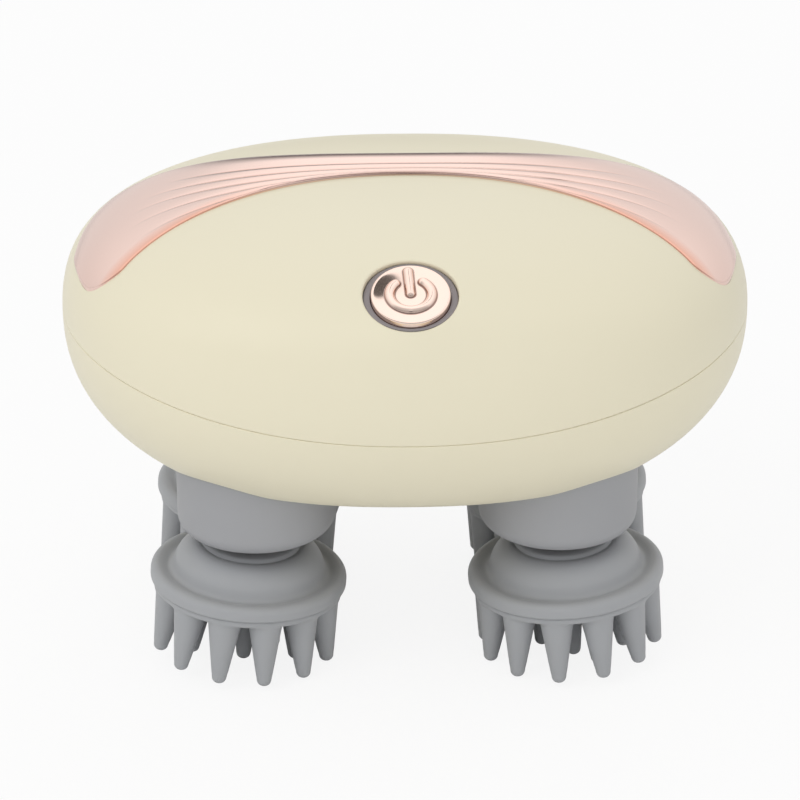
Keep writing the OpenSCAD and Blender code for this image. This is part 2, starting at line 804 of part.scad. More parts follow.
module at_ears() {
    translate([gearhead_x, 0, 0])
        for (k = [0, 180]) rotate([0, 0, ear_turn + k]) translate([ear_ring, 0, 0]) children();
}

module gearhead() {
    color(steel) difference() {
        union() {
            translate([gearhead_x, 0, cover_top]) cylinder(r = gearhead_r, h = gearhead_h);
            translate([gearhead_x, 0, cover_top]) rotate([0, 0, ear_turn])
                translate([-ear_ring, -ear_r, 0]) cube([2 * ear_ring, 2 * ear_r, ear_t]);
            at_ears() translate([0, 0, cover_top]) cylinder(r = ear_r, h = ear_t);
        }
        at_ears() translate([0, 0, cover_top - 1]) cylinder(r = 1.1, h = 4);
        translate([-drive_x, 0, cover_top - 1]) cylinder(r = axle_r + run_play, h = 4.2);
    }
}

module motor() {
    color("#8d9094") {
        translate([gearhead_x, 0, motor_z]) cylinder(r = motor_r, h = motor_h - 1.2);
        translate([gearhead_x, 0, motor_z + motor_h - 1.2]) cylinder(r = 4, h = 1.2);
        for (s = [-1, 1])
            translate([gearhead_x + s * 7 - 1, -0.3, motor_z + motor_h - 1.3]) cube([2, 0.6, 1.6]);
    }
}

module battery_cell() {
    color("#5b86b5") translate([0, cell_y, cell_z]) rotate([0, 90, 0]) {
        translate([0, 0, -cell_l / 2]) cylinder(r = cell_r, h = cell_l - 1);
        translate([0, 0, cell_l / 2 - 1]) cylinder(r = 3, h = 1);
    }
}

module battery_cradle() {
    color(dark) difference() {
        translate([-cell_l / 2 - 2, cell_y - cell_r + 0.5, cover_top])
            cube([cell_l + 4, 2 * cell_r - 1, cell_r - 1]);
        translate([-cell_l / 2 - 0.2, cell_y, cell_z]) rotate([0, 90, 0])
            cylinder(r = cell_r + 0.1, h = cell_l + 0.4);
        translate([-cell_l / 2 + 8, cell_y - cell_r - 1, cover_top + 4])
            cube([cell_l - 16, 2 * cell_r + 2, cell_r]);
        for (s = HEADS)
            at_shaft(s) translate([0, 0, cover_top - 1]) cylinder(r = boss_r + 0.2, h = boss_rise + 1.2);
        for (p = pillars)
            translate([p[0], p[1], cover_top - 1]) cylinder(r = screw_head_r + head_play, h = 4);
    }
}

// ---- Charging socket ------------------------------------------------------------

module charge_socket() {
    back = port_y - plug_t - socket_l;
    color(steel) difference() {
        translate([-socket_w / 2, back + 0.1, port_z - socket_h / 2])
            cube([socket_w, socket_l - 0.4, socket_h]);
        translate([-slot_w / 2, back + socket_l - slot_deep, port_z - slot_h / 2])
            cube([slot_w, slot_deep, slot_h]);
    }
    color(dark) translate([-3.3, back + 0.8, port_z - 0.35]) cube([6.6, 4.4, 0.7]);
}

// Soft stopper that pulls straight out of the charging socket
module port_plug() {
    color(cream) difference() {
        union() {
            translate([-plug_w / 2, port_y - plug_t, port_z - plug_h / 2])
                cube([plug_w, plug_t - 0.2, plug_h]);
            translate([-slot_w / 2 + 0.25, port_y - plug_t - 1.9, port_z - slot_h / 2 + 0.25])
                cube([slot_w - 0.5, 2, slot_h - 0.5]);
        }
        translate([-2.5, port_y - 0.7, port_z + plug_h / 2 - 1]) cube([5, 2, 2]);
    }
}

// ---- Screws ---------------------------------------------------------------------

// Pan-head screw with its tip at z = 0 and its head on top
module screw(r, length) {
    cylinder(r = r, h = length);
    translate([0, 0, length]) difference() {
        cylinder(r = screw_head_r, h = screw_head_h);
        for (a = [0, 90])
            rotate([0, 0, a]) translate([-1.5, -0.3, screw_head_h - 0.7]) cube([3, 0.6, 1]);
    }
}

module chassis_screws() {
    chassis_bite = 4.5;
    color(steel) for (p = pillars)
        translate([p[0], p[1], plate_z - chassis_bite])
            screw(thread_r, cover_top - plate_z + chassis_bite);
}

module case_screws() {
    color(steel) for (p = case_points)
        translate([p[0], p[1], case_split + case_bite]) mirror([0, 0, 1])
            screw(thread_r, case_split + case_bite - base_z - well_h);
}

module collar_screws() {
    color(steel) for (s = HEADS)
        at_shaft(s) for (k = [0 : 2])
            rotate([0, 0, 120 * k + 90]) translate([collar_screw_ring, 0, plate_top - split_gap])
                mirror([0, 0, 1]) screw(thread_r, plate_t - split_gap + collar_disc);
}

module gearhead_screws() {
    color(steel) at_ears() translate([0, 0, cover_z + 0.2]) screw(0.88, plate_t + 1.4);
}

module board_screws() {
    color(steel) at_button()
        for (sx = [-1, 1], sy = [-1, 1])
            translate([sx * post_x, sy * post_y, board_top + 2]) mirror([0, 0, 1]) {
                cylinder(r = 0.78, h = 2 + board_t);
                translate([0, 0, 2 + board_t]) cylinder(r = 1.6, h = 1);
            }
}

// ---- Heads ----------------------------------------------------------------------

pin_r = 2.6;
pin_end = 0.8;
hub_edge = 1.6;
pad_boss_r = 5.4;
pad_boss_h = 0.9;

// Rings of the middle and inner fingers as shares of the outer one, at the tips and at the roots
middle_share = [0.65, 0.63];
inner_share = [0.33, 0.305];
middle_slim = 0.6;
inner_slim = 0.7;

// Upright shaft whose lower end is a pin that leans with the head
module crank_shaft(side) {
    knuckle = shaft_r + 0.6;
    color(steel) {
        at_shaft(side) {
            translate([0, 0, pivot_z]) cylinder(r = shaft_r, h = hub_z - pivot_z);
            translate([0, 0, hub_z]) linear_extrude(hub_top - hub_z) d_shape(shaft_r);
            translate([0, 0, hub_top]) cylinder(r = shaft_r, h = shaft_top - hub_top);
            translate([0, 0, pivot_z]) sphere(r = knuckle);
        }
        at_head(side) translate([0, 0, pin_end]) cylinder(r = pin_r, h = pivot_h - pin_end);
    }
}

// Hard core of a head: a disc under the bell and a neck up to the knuckle
module head_hub(side) {
    gap = 0.1;
    inner_r = bell_r - bell_wall - gap;
    color(dark) at_head(side) difference() {
        rotate_extrude()
            polygon([
                [0, pad_top], [inner_r, pad_top], [inner_r, hub_edge],
                [shoulder_r - bell_wall, shoulder_h - bell_wall - gap],
                [neck_r - 0.1, shoulder_h - bell_wall - gap], [neck_r - 0.1, pivot_h - 7],
                [neck_r - 1.6, pivot_h - 5.4], [0, pivot_h - 5.4]
            ]);
        translate([0, 0, pin_end - 0.1]) cylinder(r = pin_r + fit_play, h = pivot_h);
        translate([0, 0, pad_top - 1]) cylinder(r = pad_boss_r + 0.2, h = pad_boss_h + 1.1);
    }
}

// Soft bell with a rolled rim, a channel inside the rim and a domed shoulder
module head_bell(side) {
    channel = rim_half - 0.7;
    foot = rim_half - 0.1;
    dome_power = 1.8;
    color(grey) at_head(side) rotate_extrude()
        polygon(concat(
            [[bell_r - bell_wall, -rim_half], [rim_r - rim_half, -rim_half]],
            [for (a = [-60 : 30 : 90])
                [rim_r - rim_half + rim_half * cos(a), rim_half * sin(a)]],
            [[bell_r + 1.9, channel + 0.2], [bell_r + 1.1, channel], [bell_r + 0.4, channel + 0.1]],
            [for (t = [0 : 15 : 75])
                [shoulder_r + (bell_r - shoulder_r) * pow(cos(t), 2 / dome_power),
                    foot + (shoulder_h - foot) * pow(sin(t), 2 / dome_power)]],
            [[shoulder_r - 0.2, shoulder_h], [shoulder_r - 0.5, shoulder_h - 0.25],
                [neck_r + 0.2, shoulder_h - 0.25], [neck_r, shoulder_h - 0.45],
                [neck_r, shoulder_h - bell_wall], [shoulder_r - bell_wall + 0.1, shoulder_h - bell_wall],
                [bell_r - bell_wall, hub_edge + 0.1]]));
}

// Profile of one finger, turned about its own axis: root, cone and round tip
module finger(r, length) {
    lean = atan((r - tip_r) / length);
    rotate_extrude()
        polygon(concat(
            [[0, 0], [r + 0.5, 0], [r + 0.12, -0.9], [r - 0.1, -1.9]],
            [for (a = [lean : (90 - lean) / 4 : 89])
                [tip_r * cos(a), -length - tip_r * sin(a)]],
            [[0, -length - tip_r]]));
}

module finger_ring(count, first, tip_at, root_at, r) {
    fall = tip_mid + finger_root;
    run = tip_at - root_at;
    for (k = [0 : count - 1])
        rotate([0, 0, first + 360 * k / count])
            translate([root_at, 0, finger_root])
                rotate([0, -atan(run / fall), 0])
                    finger(r, sqrt(run * run + fall * fall));
}

// Soft disc with three rings of fingers
module finger_pad(side) {
    outward = side[0] < 0 ? 180 + left_turn : right_turn;
    color(finger_grey) at_head(side) rotate([0, 0, outward]) {
        rotate_extrude()
            polygon([
                [0, pad_face], [rim_r - 1.4, pad_face], [rim_r - 0.9, pad_face + 0.25],
                [rim_r - 0.7, pad_face + 0.8], [rim_r - 0.9, pad_top - 0.02], [pad_boss_r, pad_top - 0.02],
                [pad_boss_r, pad_top + pad_boss_h], [0, pad_top + pad_boss_h]
            ]);
        finger_ring(outer_count, outer_step / 2, tip_ring, root_ring, root_r);
        finger_ring(middle_count, 180 / middle_count, tip_ring * middle_share[0],
            root_ring * middle_share[1], root_r - middle_slim);
        finger_ring(inner_count, 0, tip_ring * inner_share[0], root_ring * inner_share[1],
            root_r - inner_slim);
    }
}

// ---- Parts ----------------------------------------------------------------------

upper_shell();
lower_shell();
trim_band();
button_bezel();
power_button();
button_switch();
main_board();
battery_cell();
battery_cradle();
motor();
gearhead();
drive_shaft();
drive_gear();
idler_gear();
idler_axle();
gearbox_base();
gearbox_cover();
charge_socket();
port_plug();
case_screws();
chassis_screws();
collar_screws();
gearhead_screws();
board_screws();
collar(FL);  // collar_fl
collar(FR);  // collar_fr
collar(RL);  // collar_rl
collar(RR);  // collar_rr
lower_bush(FL);  // lower_bush_fl
lower_bush(FR);  // lower_bush_fr
lower_bush(RL);  // lower_bush_rl
lower_bush(RR);  // lower_bush_rr
upper_bush(FL);  // upper_bush_fl
upper_bush(FR);  // upper_bush_fr
upper_bush(RL);  // upper_bush_rl
upper_bush(RR);  // upper_bush_rr
shaft_seal(FL);  // shaft_seal_fl
shaft_seal(FR);  // shaft_seal_fr
shaft_seal(RL);  // shaft_seal_rl
shaft_seal(RR);  // shaft_seal_rr
head_gear(FL);  // head_gear_fl
head_gear(FR);  // head_gear_fr
head_gear(RL);  // head_gear_rl
head_gear(RR);  // head_gear_rr
crank_shaft(FL);  // crank_shaft_fl
crank_shaft(FR);  // crank_shaft_fr
crank_shaft(RL);  // crank_shaft_rl
crank_shaft(RR);  // crank_shaft_rr
head_hub(FL);  // head_hub_fl
head_hub(FR);  // head_hub_fr
head_hub(RL);  // head_hub_rl
head_hub(RR);  // head_hub_rr
head_bell(FL);  // head_bell_fl
head_bell(FR);  // head_bell_fr
head_bell(RL);  // head_bell_rl
head_bell(RR);  // head_bell_rr
finger_pad(FL);  // finger_pad_fl
finger_pad(FR);  // finger_pad_fr
finger_pad(RL);  // finger_pad_rl
finger_pad(RR);  // finger_pad_rr
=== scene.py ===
"""Looks of a hand-held scalp massager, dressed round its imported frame.

Lengths are in millimetres until a mesh is made, and meshes are in metres. The body is a
superellipse form: a crown above the widest section and a belly below it, in two shells
that meet at a curved parting line.
"""

import json
import logging
import math
from dataclasses import dataclass, field
from enum import Enum

import bmesh
import bpy
import numpy as np
from mathutils import Matrix, Vector
from mathutils.geometry import delaunay_2d_cdt


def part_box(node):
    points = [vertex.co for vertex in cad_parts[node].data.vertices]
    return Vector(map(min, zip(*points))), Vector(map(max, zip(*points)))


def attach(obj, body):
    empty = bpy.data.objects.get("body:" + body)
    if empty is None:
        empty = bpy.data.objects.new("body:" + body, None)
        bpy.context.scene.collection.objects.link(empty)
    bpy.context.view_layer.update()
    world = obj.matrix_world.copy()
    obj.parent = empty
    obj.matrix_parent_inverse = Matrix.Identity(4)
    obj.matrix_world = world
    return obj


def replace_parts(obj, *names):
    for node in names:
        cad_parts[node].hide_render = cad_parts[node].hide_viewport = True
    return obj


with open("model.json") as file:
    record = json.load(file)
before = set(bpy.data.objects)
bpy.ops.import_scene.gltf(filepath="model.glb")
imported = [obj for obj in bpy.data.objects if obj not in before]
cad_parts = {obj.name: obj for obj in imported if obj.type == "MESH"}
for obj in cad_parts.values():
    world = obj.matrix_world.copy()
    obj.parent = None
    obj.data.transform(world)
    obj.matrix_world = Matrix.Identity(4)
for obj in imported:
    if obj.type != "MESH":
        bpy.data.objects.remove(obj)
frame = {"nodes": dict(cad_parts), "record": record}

MM = 0.001
LOG = logging.getLogger("scalp_massager")
Points = np.ndarray
Faces = list[tuple[int, ...]]
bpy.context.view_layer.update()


# ---- Small tools ------------------------------------------------------------------


def smooth_step(low: float, high: float, value: Points) -> Points:
    """Smooth rise from 0 at low to 1 at high.

    Args:
        low: Value at which the rise starts.
        high: Value at which the rise ends.
        value: Where it is read.

    Returns:
        The rise at each value, between 0 and 1.
    """
    t = np.clip((value - low) / (high - low), 0.0, 1.0)
    return t * t * (3.0 - 2.0 * t)


def make_object(name: str, points: Points, faces: Faces,
                material: bpy.types.Material) -> bpy.types.Object:
    """Makes a smooth-shaded mesh object.

    Args:
        name: Name of the piece.
        points: Corners in millimetres, one per row.
        faces: Corner numbers of each face, turning anticlockwise seen from outside.
        material: Finish of the piece.

    Returns:
        The object, linked to the scene.
    """
    mesh = bpy.data.meshes.new(name)
    mesh.from_pydata((np.asarray(points, float) * MM).tolist(), [], faces)
    mesh.polygons.foreach_set("use_smooth", [True] * len(mesh.polygons))
    mesh.materials.append(material)
    obj = bpy.data.objects.new(name, mesh)
    bpy.context.scene.collection.objects.link(obj)
    return obj


def set_mask(obj: bpy.types.Object, name: str, values: Points) -> None:
    """Keeps a value for each corner of a mesh, which the finish reads.

    Args:
        obj: The mesh object.
        name: Name of the attribute.
        values: Value of each corner.
    """
    mask = obj.data.attributes.new(name, "FLOAT", "POINT")
    mask.data.foreach_set("value", np.asarray(values, np.float32))


def face_outwards(obj: bpy.types.Object) -> None:
    """Turns every face of a closed mesh outwards.

    Args:
        obj: The mesh object.
    """
    work = bmesh.new()
    work.from_mesh(obj.data)
    bmesh.ops.remove_doubles(work, verts=work.verts, dist=1e-7)
    bmesh.ops.recalc_face_normals(work, faces=work.faces)
    work.to_mesh(obj.data)
    work.free()


def weigh_normals(obj: bpy.types.Object) -> None:
    """Lets large faces set the shading, so that flats stay flat beside small roundings.

    Args:
        obj: The mesh object.
    """
    modifier = obj.modifiers.new("weighted", "WEIGHTED_NORMAL")
    modifier.mode = "FACE_AREA"
    modifier.weight = 80


def settle(obj: bpy.types.Object) -> None:
    """Replaces an object's mesh by its evaluated mesh and drops its modifiers.

    Args:
        obj: The mesh object.
    """
    depsgraph = bpy.context.evaluated_depsgraph_get()
    final = bpy.data.meshes.new_from_object(obj.evaluated_get(depsgraph))
    old = obj.data
    obj.modifiers.clear()
    obj.data = final
    bpy.data.meshes.remove(old)


def finish_mesh(obj: bpy.types.Object) -> None:
    """Turns a closed mesh's faces outwards and keeps its flats flat in the shading.

    Args:
        obj: The mesh object.
    """
    face_outwards(obj)
    weigh_normals(obj)
    settle(obj)


def moved(points: Points, place: Matrix) -> Points:
    """Points after a placement.

    Args:
        points: Points in millimetres.
        place: Placement in millimetres.

    Returns:
        The moved points.
    """
    m = np.array(place)
    return np.asarray(points, float) @ m[:3, :3].T + m[:3, 3]


def rounded(corners: list[tuple[float, float, float]], steps: int = 6,
            closed: bool = True) -> list[tuple[float, float]]:
    """A polygon whose corners are rounded by arcs.

    Args:
        corners: Each corner as two coordinates and its radius.
        steps: Pieces in each arc.
        closed: Whether the last corner joins the first.

    Returns:
        The outline's points.
    """
    out: list[tuple[float, float]] = []
    count = len(corners)
    for i, (x, y, radius) in enumerate(corners):
        here = Vector((x, y))
        if radius <= 0 or (not closed and i in (0, count - 1)):
            out.append((x, y))
            continue
        before = (Vector(corners[i - 1][:2]) - here).normalized()
        after = (Vector(corners[(i + 1) % count][:2]) - here).normalized()
        half = before.angle(after) / 2
        reach = radius / math.tan(half)
        centre = here + (before + after).normalized() * (radius / math.sin(half))
        first = here + before * reach - centre
        last = here + after * reach - centre
        sweep = first.angle_signed(last)
        for k in range(steps + 1):
            arm = first.copy()
            arm.rotate(Matrix.Rotation(-sweep * k / steps, 2))
            out.append(tuple(centre + arm))
    return out


def turned(profile: list[tuple[float, float]], closed: bool, around: int = 128) -> tuple[Points, Faces]:
    """A profile of radius and height, turned about the Z axis.

    Args:
        profile: Radius and height of each point. An open profile starts and ends on the axis.
        closed: Whether the profile is a ring's closed outline.
        around: Pieces round the axis.

    Returns:
        Points and faces of the solid.
    """
    rings = profile if closed else profile[1:-1]
    angle = np.linspace(0, 2 * math.pi, around, endpoint=False)
    points = [np.stack([r * np.cos(angle), r * np.sin(angle), np.full(around, z)], 1) for r, z in rings]
    faces: Faces = []
    joins = len(rings) if closed else len(rings) - 1
    for j in range(joins):
        a, b = j * around, (j + 1) % len(rings) * around
        faces += [(a + i, a + (i + 1) % around, b + (i + 1) % around, b + i) for i in range(around)]
    if not closed:
        points += [np.array([[0, 0, profile[0][1]], [0, 0, profile[-1][1]]])]
        first, last = len(rings) * around, len(rings) * around + 1
        end = (len(rings) - 1) * around
        faces += [(first, (i + 1) % around, i) for i in range(around)]
        faces += [(last, end + i, end + (i + 1) % around) for i in range(around)]
    return np.concatenate(points), faces


def strip(one: list[int], two: list[int]) -> Faces:
    """Faces between two closed loops of corner numbers.

    Args:
        one: The first loop.
        two: The second loop, as long as the first.

    Returns:
        The faces.
    """
    n = len(one)
    return [(one[i], one[(i + 1) % n], two[(i + 1) % n], two[i]) for i in range(n)]


# ---- Finishes ---------------------------------------------------------------------


def linear(red: int, green: int, blue: int) -> tuple[float, float, float, float]:
    """Linear colour of an sRGB colour written in 0 to 255.

    Args:
        red: Red part.
        green: Green part.
        blue: Blue part.

    Returns:
        The linear colour with alpha.
    """
    def one(part: int) -> float:
        """Linear value of one part.

        Args:
            part: The part in 0 to 255.

        Returns:
            Its linear value.
        """
        v = part / 255
        return v / 12.92 if v <= 0.04045 else ((v + 0.055) / 1.055) ** 2.4
    return (one(red), one(green), one(blue), 1.0)


class Effect(Enum):
    """Shader effects that several finishes share."""

    MOTTLE = "Mottle"
    GRAIN = "Grain"


@dataclass(frozen=True)
class Socket:
    """A named socket of an effect group."""

    name: str
    kind: str
    value: float | tuple[float, float, float, float] | None = None


@dataclass
class Wiring:
    """A node tree that is being built, with short ways to add nodes and links."""

    tree: bpy.types.NodeTree

    def feed(self, node: bpy.types.Node, inputs: dict[str | int, object]) -> bpy.types.Node:
        """Links or sets inputs of a node.

        Args:
            node: The node.
            inputs: A socket to link or a value to set, for an input's name or number.

        Returns:
            The node.
        """
        for key, value in inputs.items():
            if isinstance(value, bpy.types.NodeSocket):
                self.tree.links.new(value, node.inputs[key])
            else:
                node.inputs[key].default_value = value
        return node

    def add(self, kind: str, inputs: dict[str | int, object] | None = None,
            **settings: object) -> bpy.types.Node:
        """Adds a node.

        Args:
            kind: Type of the node.
            inputs: A socket or a value for an input's name or number.
            **settings: Settings of the node itself, made before its inputs.

        Returns:
            The node.
        """
        node = self.tree.nodes.new(kind)
        for name, value in settings.items():
            setattr(node, name, value)
        return self.feed(node, inputs or {})

    def calc(self, operation: str, *values: bpy.types.NodeSocket | float) -> bpy.types.NodeSocket:
        """Adds a math node.

        Args:
            operation: What it works out.
            *values: Sockets or numbers that it takes.

        Returns:
            Its result.
        """
        return self.add("ShaderNodeMath", dict(enumerate(values)), operation=operation).outputs[0]


def new_group(name: str, kind: str, inputs: list[Socket],
              outputs: list[Socket]) -> tuple[Wiring, bpy.types.Node, bpy.types.Node]:
    """A node group with its sockets.

    Args:
        name: Name of the group.
        kind: Type of the node tree.
        inputs: Sockets that go in.
        outputs: Sockets that come out.

    Returns:
        The tree's wiring, its input node and its output node.
    """
    tree = bpy.data.node_groups.new(name, kind)
    for side, sockets in (("INPUT", inputs), ("OUTPUT", outputs)):
        for s in sockets:
            made = tree.interface.new_socket(name=s.name, in_out=side, socket_type=s.kind)
            if s.value is not None:
                made.default_value = s.value
    return Wiring(tree), tree.nodes.new("NodeGroupInput"), tree.nodes.new("NodeGroupOutput")


def mottle_group() -> bpy.types.NodeTree:
    """Group that varies a colour and a roughness softly over the surface.

    Returns:
        The node tree.
    """
    wires, given, result = new_group(
        Effect.MOTTLE.value, "ShaderNodeTree",
        [Socket("Color", "NodeSocketColor"), Socket("Shade", "NodeSocketColor"),
         Socket("Scale", "NodeSocketFloat", 30.0), Socket("Amount", "NodeSocketFloat", 0.3),
         Socket("Roughness", "NodeSocketFloat", 0.5), Socket("Roughness Spread", "NodeSocketFloat", 0.05)],
        [Socket("Color", "NodeSocketColor"), Socket("Roughness", "NodeSocketFloat")])
    place = wires.add("ShaderNodeTexCoord")
    noise = wires.add("ShaderNodeTexNoise", {
        "Detail": 3.0, "Vector": place.outputs["Object"], "Scale": given.outputs["Scale"]}).outputs["Fac"]
    mix = wires.add("ShaderNodeMix", {
        "Factor": wires.calc("MULTIPLY", noise, given.outputs["Amount"]),
        "A": given.outputs["Color"], "B": given.outputs["Shade"]}, data_type="RGBA")
    rough = wires.calc("MULTIPLY_ADD", wires.calc("SUBTRACT", noise, 0.5),
                       given.outputs["Roughness Spread"], given.outputs["Roughness"])
    wires.feed(result, {"Color": mix.outputs["Result"], "Roughness": rough})
    return wires.tree


def grain_group() -> bpy.types.NodeTree:
    """Group that gives the normal of a fine moulded or brushed surface.

    Returns:
        The node tree.
    """
    wires, given, result = new_group(
        Effect.GRAIN.value, "ShaderNodeTree",
        [Socket("Scale", "NodeSocketFloat", 900.0), Socket("Depth", "NodeSocketFloat", 0.00002),
         Socket("Stretch", "NodeSocketFloat", 1.0)],
        [Socket("Normal", "NodeSocketVector")])
    place = wires.add("ShaderNodeTexCoord")
    parts = wires.add("ShaderNodeSeparateXYZ", {0: place.outputs["Object"]}).outputs
    joined = wires.add("ShaderNodeCombineXYZ", {
        "X": parts["X"], "Y": parts["Y"], "Z": wires.calc("MULTIPLY", parts["Z"], given.outputs["Stretch"])})
    noise = wires.add("ShaderNodeTexNoise", {
        "Detail": 4.0, "Vector": joined.outputs[0], "Scale": given.outputs["Scale"]})
    bump = wires.add("ShaderNodeBump", {
        "Height": noise.outputs["Fac"], "Distance": given.outputs["Depth"]})
    wires.feed(result, {"Normal": bump.outputs["Normal"]})
    return wires.tree


@dataclass(frozen=True)
class Finish:
    """A surface finish, with the values that its shader and its two effects take."""

    name: str
    color: tuple[int, int, int]
    shade: tuple[int, int, int]
    roughness: float
    spread: float = 0.06
    metallic: float = 0.0
    coat: float = 0.0
    coat_roughness: float = 0.2
    sheen: float = 0.0
    specular: float = 0.5
    mottle_scale: float = 40.0
    mottle: float = 0.5
    grain_scale: float = 1400.0
    grain_depth: float = 0.00001
    grain_stretch: float = 1.0
    # Painted shade: colour mixed in by the piece's shade mask, in the band's grooves, round the power mark's
    # foot and on the cap's side.
    painted_shade_tint: tuple[int, int, int] | None = None
    # Painted reflection: colour mixed in by the piece's reflection mask along the paddles' front edges.
    painted_reflection_tint: tuple[int, int, int] | None = None

    def tint(self, wires: Wiring, color: bpy.types.NodeSocket, mask: str,
             tint: tuple[int, int, int]) -> bpy.types.NodeSocket:
        """Shifts a colour where the piece's own mask is high, to paint shade or a reflection into it.

        Args:
            wires: Wiring of the material's tree.
            color: Socket that gives the colour.
            mask: Name of the piece's attribute.
            tint: Colour under a full mask.

        Returns:
            Socket that gives the new colour.
        """
        read = wires.add("ShaderNodeAttribute", attribute_name=mask)
        mix = wires.add("ShaderNodeMix", {
            "Factor": read.outputs["Fac"], "A": color, "B": linear(*tint)}, data_type="RGBA")
        return mix.outputs["Result"]

    def build(self) -> bpy.types.Material:
        """Makes the material, or gives the one that is already made.

        Returns:
            The material.
        """
        if self.name in bpy.data.materials:
            return bpy.data.materials[self.name]
        material = bpy.data.materials.new(self.name)
        material.use_nodes = True
        wires = Wiring(material.node_tree)
        mottle = wires.add("ShaderNodeGroup", {
            "Color": linear(*self.color), "Shade": linear(*self.shade), "Scale": self.mottle_scale,
            "Amount": self.mottle, "Roughness": self.roughness, "Roughness Spread": self.spread},
            node_tree=bpy.data.node_groups[Effect.MOTTLE.value])
        grain = wires.add("ShaderNodeGroup", {
            "Scale": self.grain_scale, "Depth": self.grain_depth, "Stretch": self.grain_stretch},
            node_tree=bpy.data.node_groups[Effect.GRAIN.value])
        color = mottle.outputs["Color"]
        # Both masks paint light into the colour: a painted reflection along the paddles' edges, and painted
        # shade in grooves and round the power mark.
        for mask, tint in (("edge_mask", self.painted_reflection_tint), ("line_mask", self.painted_shade_tint)):
            if tint:
                color = self.tint(wires, color, mask, tint)
        wires.feed(material.node_tree.nodes["Principled BSDF"], {
            "Base Color": color, "Roughness": mottle.outputs["Roughness"],
            "Normal": grain.outputs["Normal"], "Metallic": self.metallic, "Coat Weight": self.coat,
            "Coat Roughness": self.coat_roughness, "Sheen Weight": self.sheen,
            "Specular IOR Level": self.specular})
        return material


FINISHES: dict[str, Finish] = {
    "shell_cream": Finish("cream_lacquer", (240, 233, 207), (235, 227, 200), 0.42, mottle_scale=18,
                          coat=0.12, coat_roughness=0.3, grain_depth=0.000004),
    # The band's tints are painted light: painted shade in the grooves and a salmon painted reflection along
    # the paddles' front edges.
    "rose_gold": Finish("rose_gold_plating", (248, 219, 208), (244, 211, 199), 0.16, 0.05, metallic=1.0,
                        mottle_scale=25, mottle=0.6, grain_scale=300, grain_depth=0.000004,
                        painted_shade_tint=(150, 116, 104), painted_reflection_tint=(240, 182, 160)),
    # The cap's tint is painted shade, round the foot of the power mark and on the cap's side.
    "rose_gold_cap": Finish("rose_gold_mirror", (255, 232, 219), (253, 222, 207), 0.06, 0.03, metallic=1.0,
                            mottle_scale=90, mottle=0.7, grain_scale=300, grain_depth=0.000003,
                            painted_shade_tint=(96, 54, 47)),
    "bezel_grey": Finish("bezel_satin", (150, 144, 146), (140, 134, 136), 0.5),
    "collar_grey": Finish("collar_plastic", (166, 167, 170), (157, 158, 162), 0.5, grain_depth=0.000012),
    "silicone_grey": Finish("soft_silicone", (170, 172, 175), (161, 163, 167), 0.55, sheen=0.15,
                            grain_depth=0.00001, mottle_scale=60),
    "seal_rubber": Finish("seal_rubber", (44, 40, 40), (34, 31, 31), 0.6),
    "dark_plastic": Finish("dark_brown_plastic", (78, 56, 52), (60, 42, 40), 0.5),
    "chassis_plastic": Finish("chassis_plastic", (140, 142, 145), (126, 128, 132), 0.55),
    "gear_white": Finish("natural_acetal", (236, 235, 228), (226, 224, 214), 0.4),
    "steel": Finish("turned_steel", (186, 190, 196), (168, 172, 180), 0.3, metallic=1.0,
                    grain_scale=500, grain_depth=0.00002, grain_stretch=12.0),
    "bronze": Finish("sintered_bronze", (180, 140, 80), (150, 112, 62), 0.42, metallic=1.0),
    "board_green": Finish("solder_mask", (38, 98, 62), (28, 80, 50), 0.3, coat=0.5),
    "cell_wrap": Finish("shrink_sleeve", (78, 122, 170), (66, 106, 152), 0.3, coat=0.3),
}


# ---- Form of the body ---------------------------------------------------------------


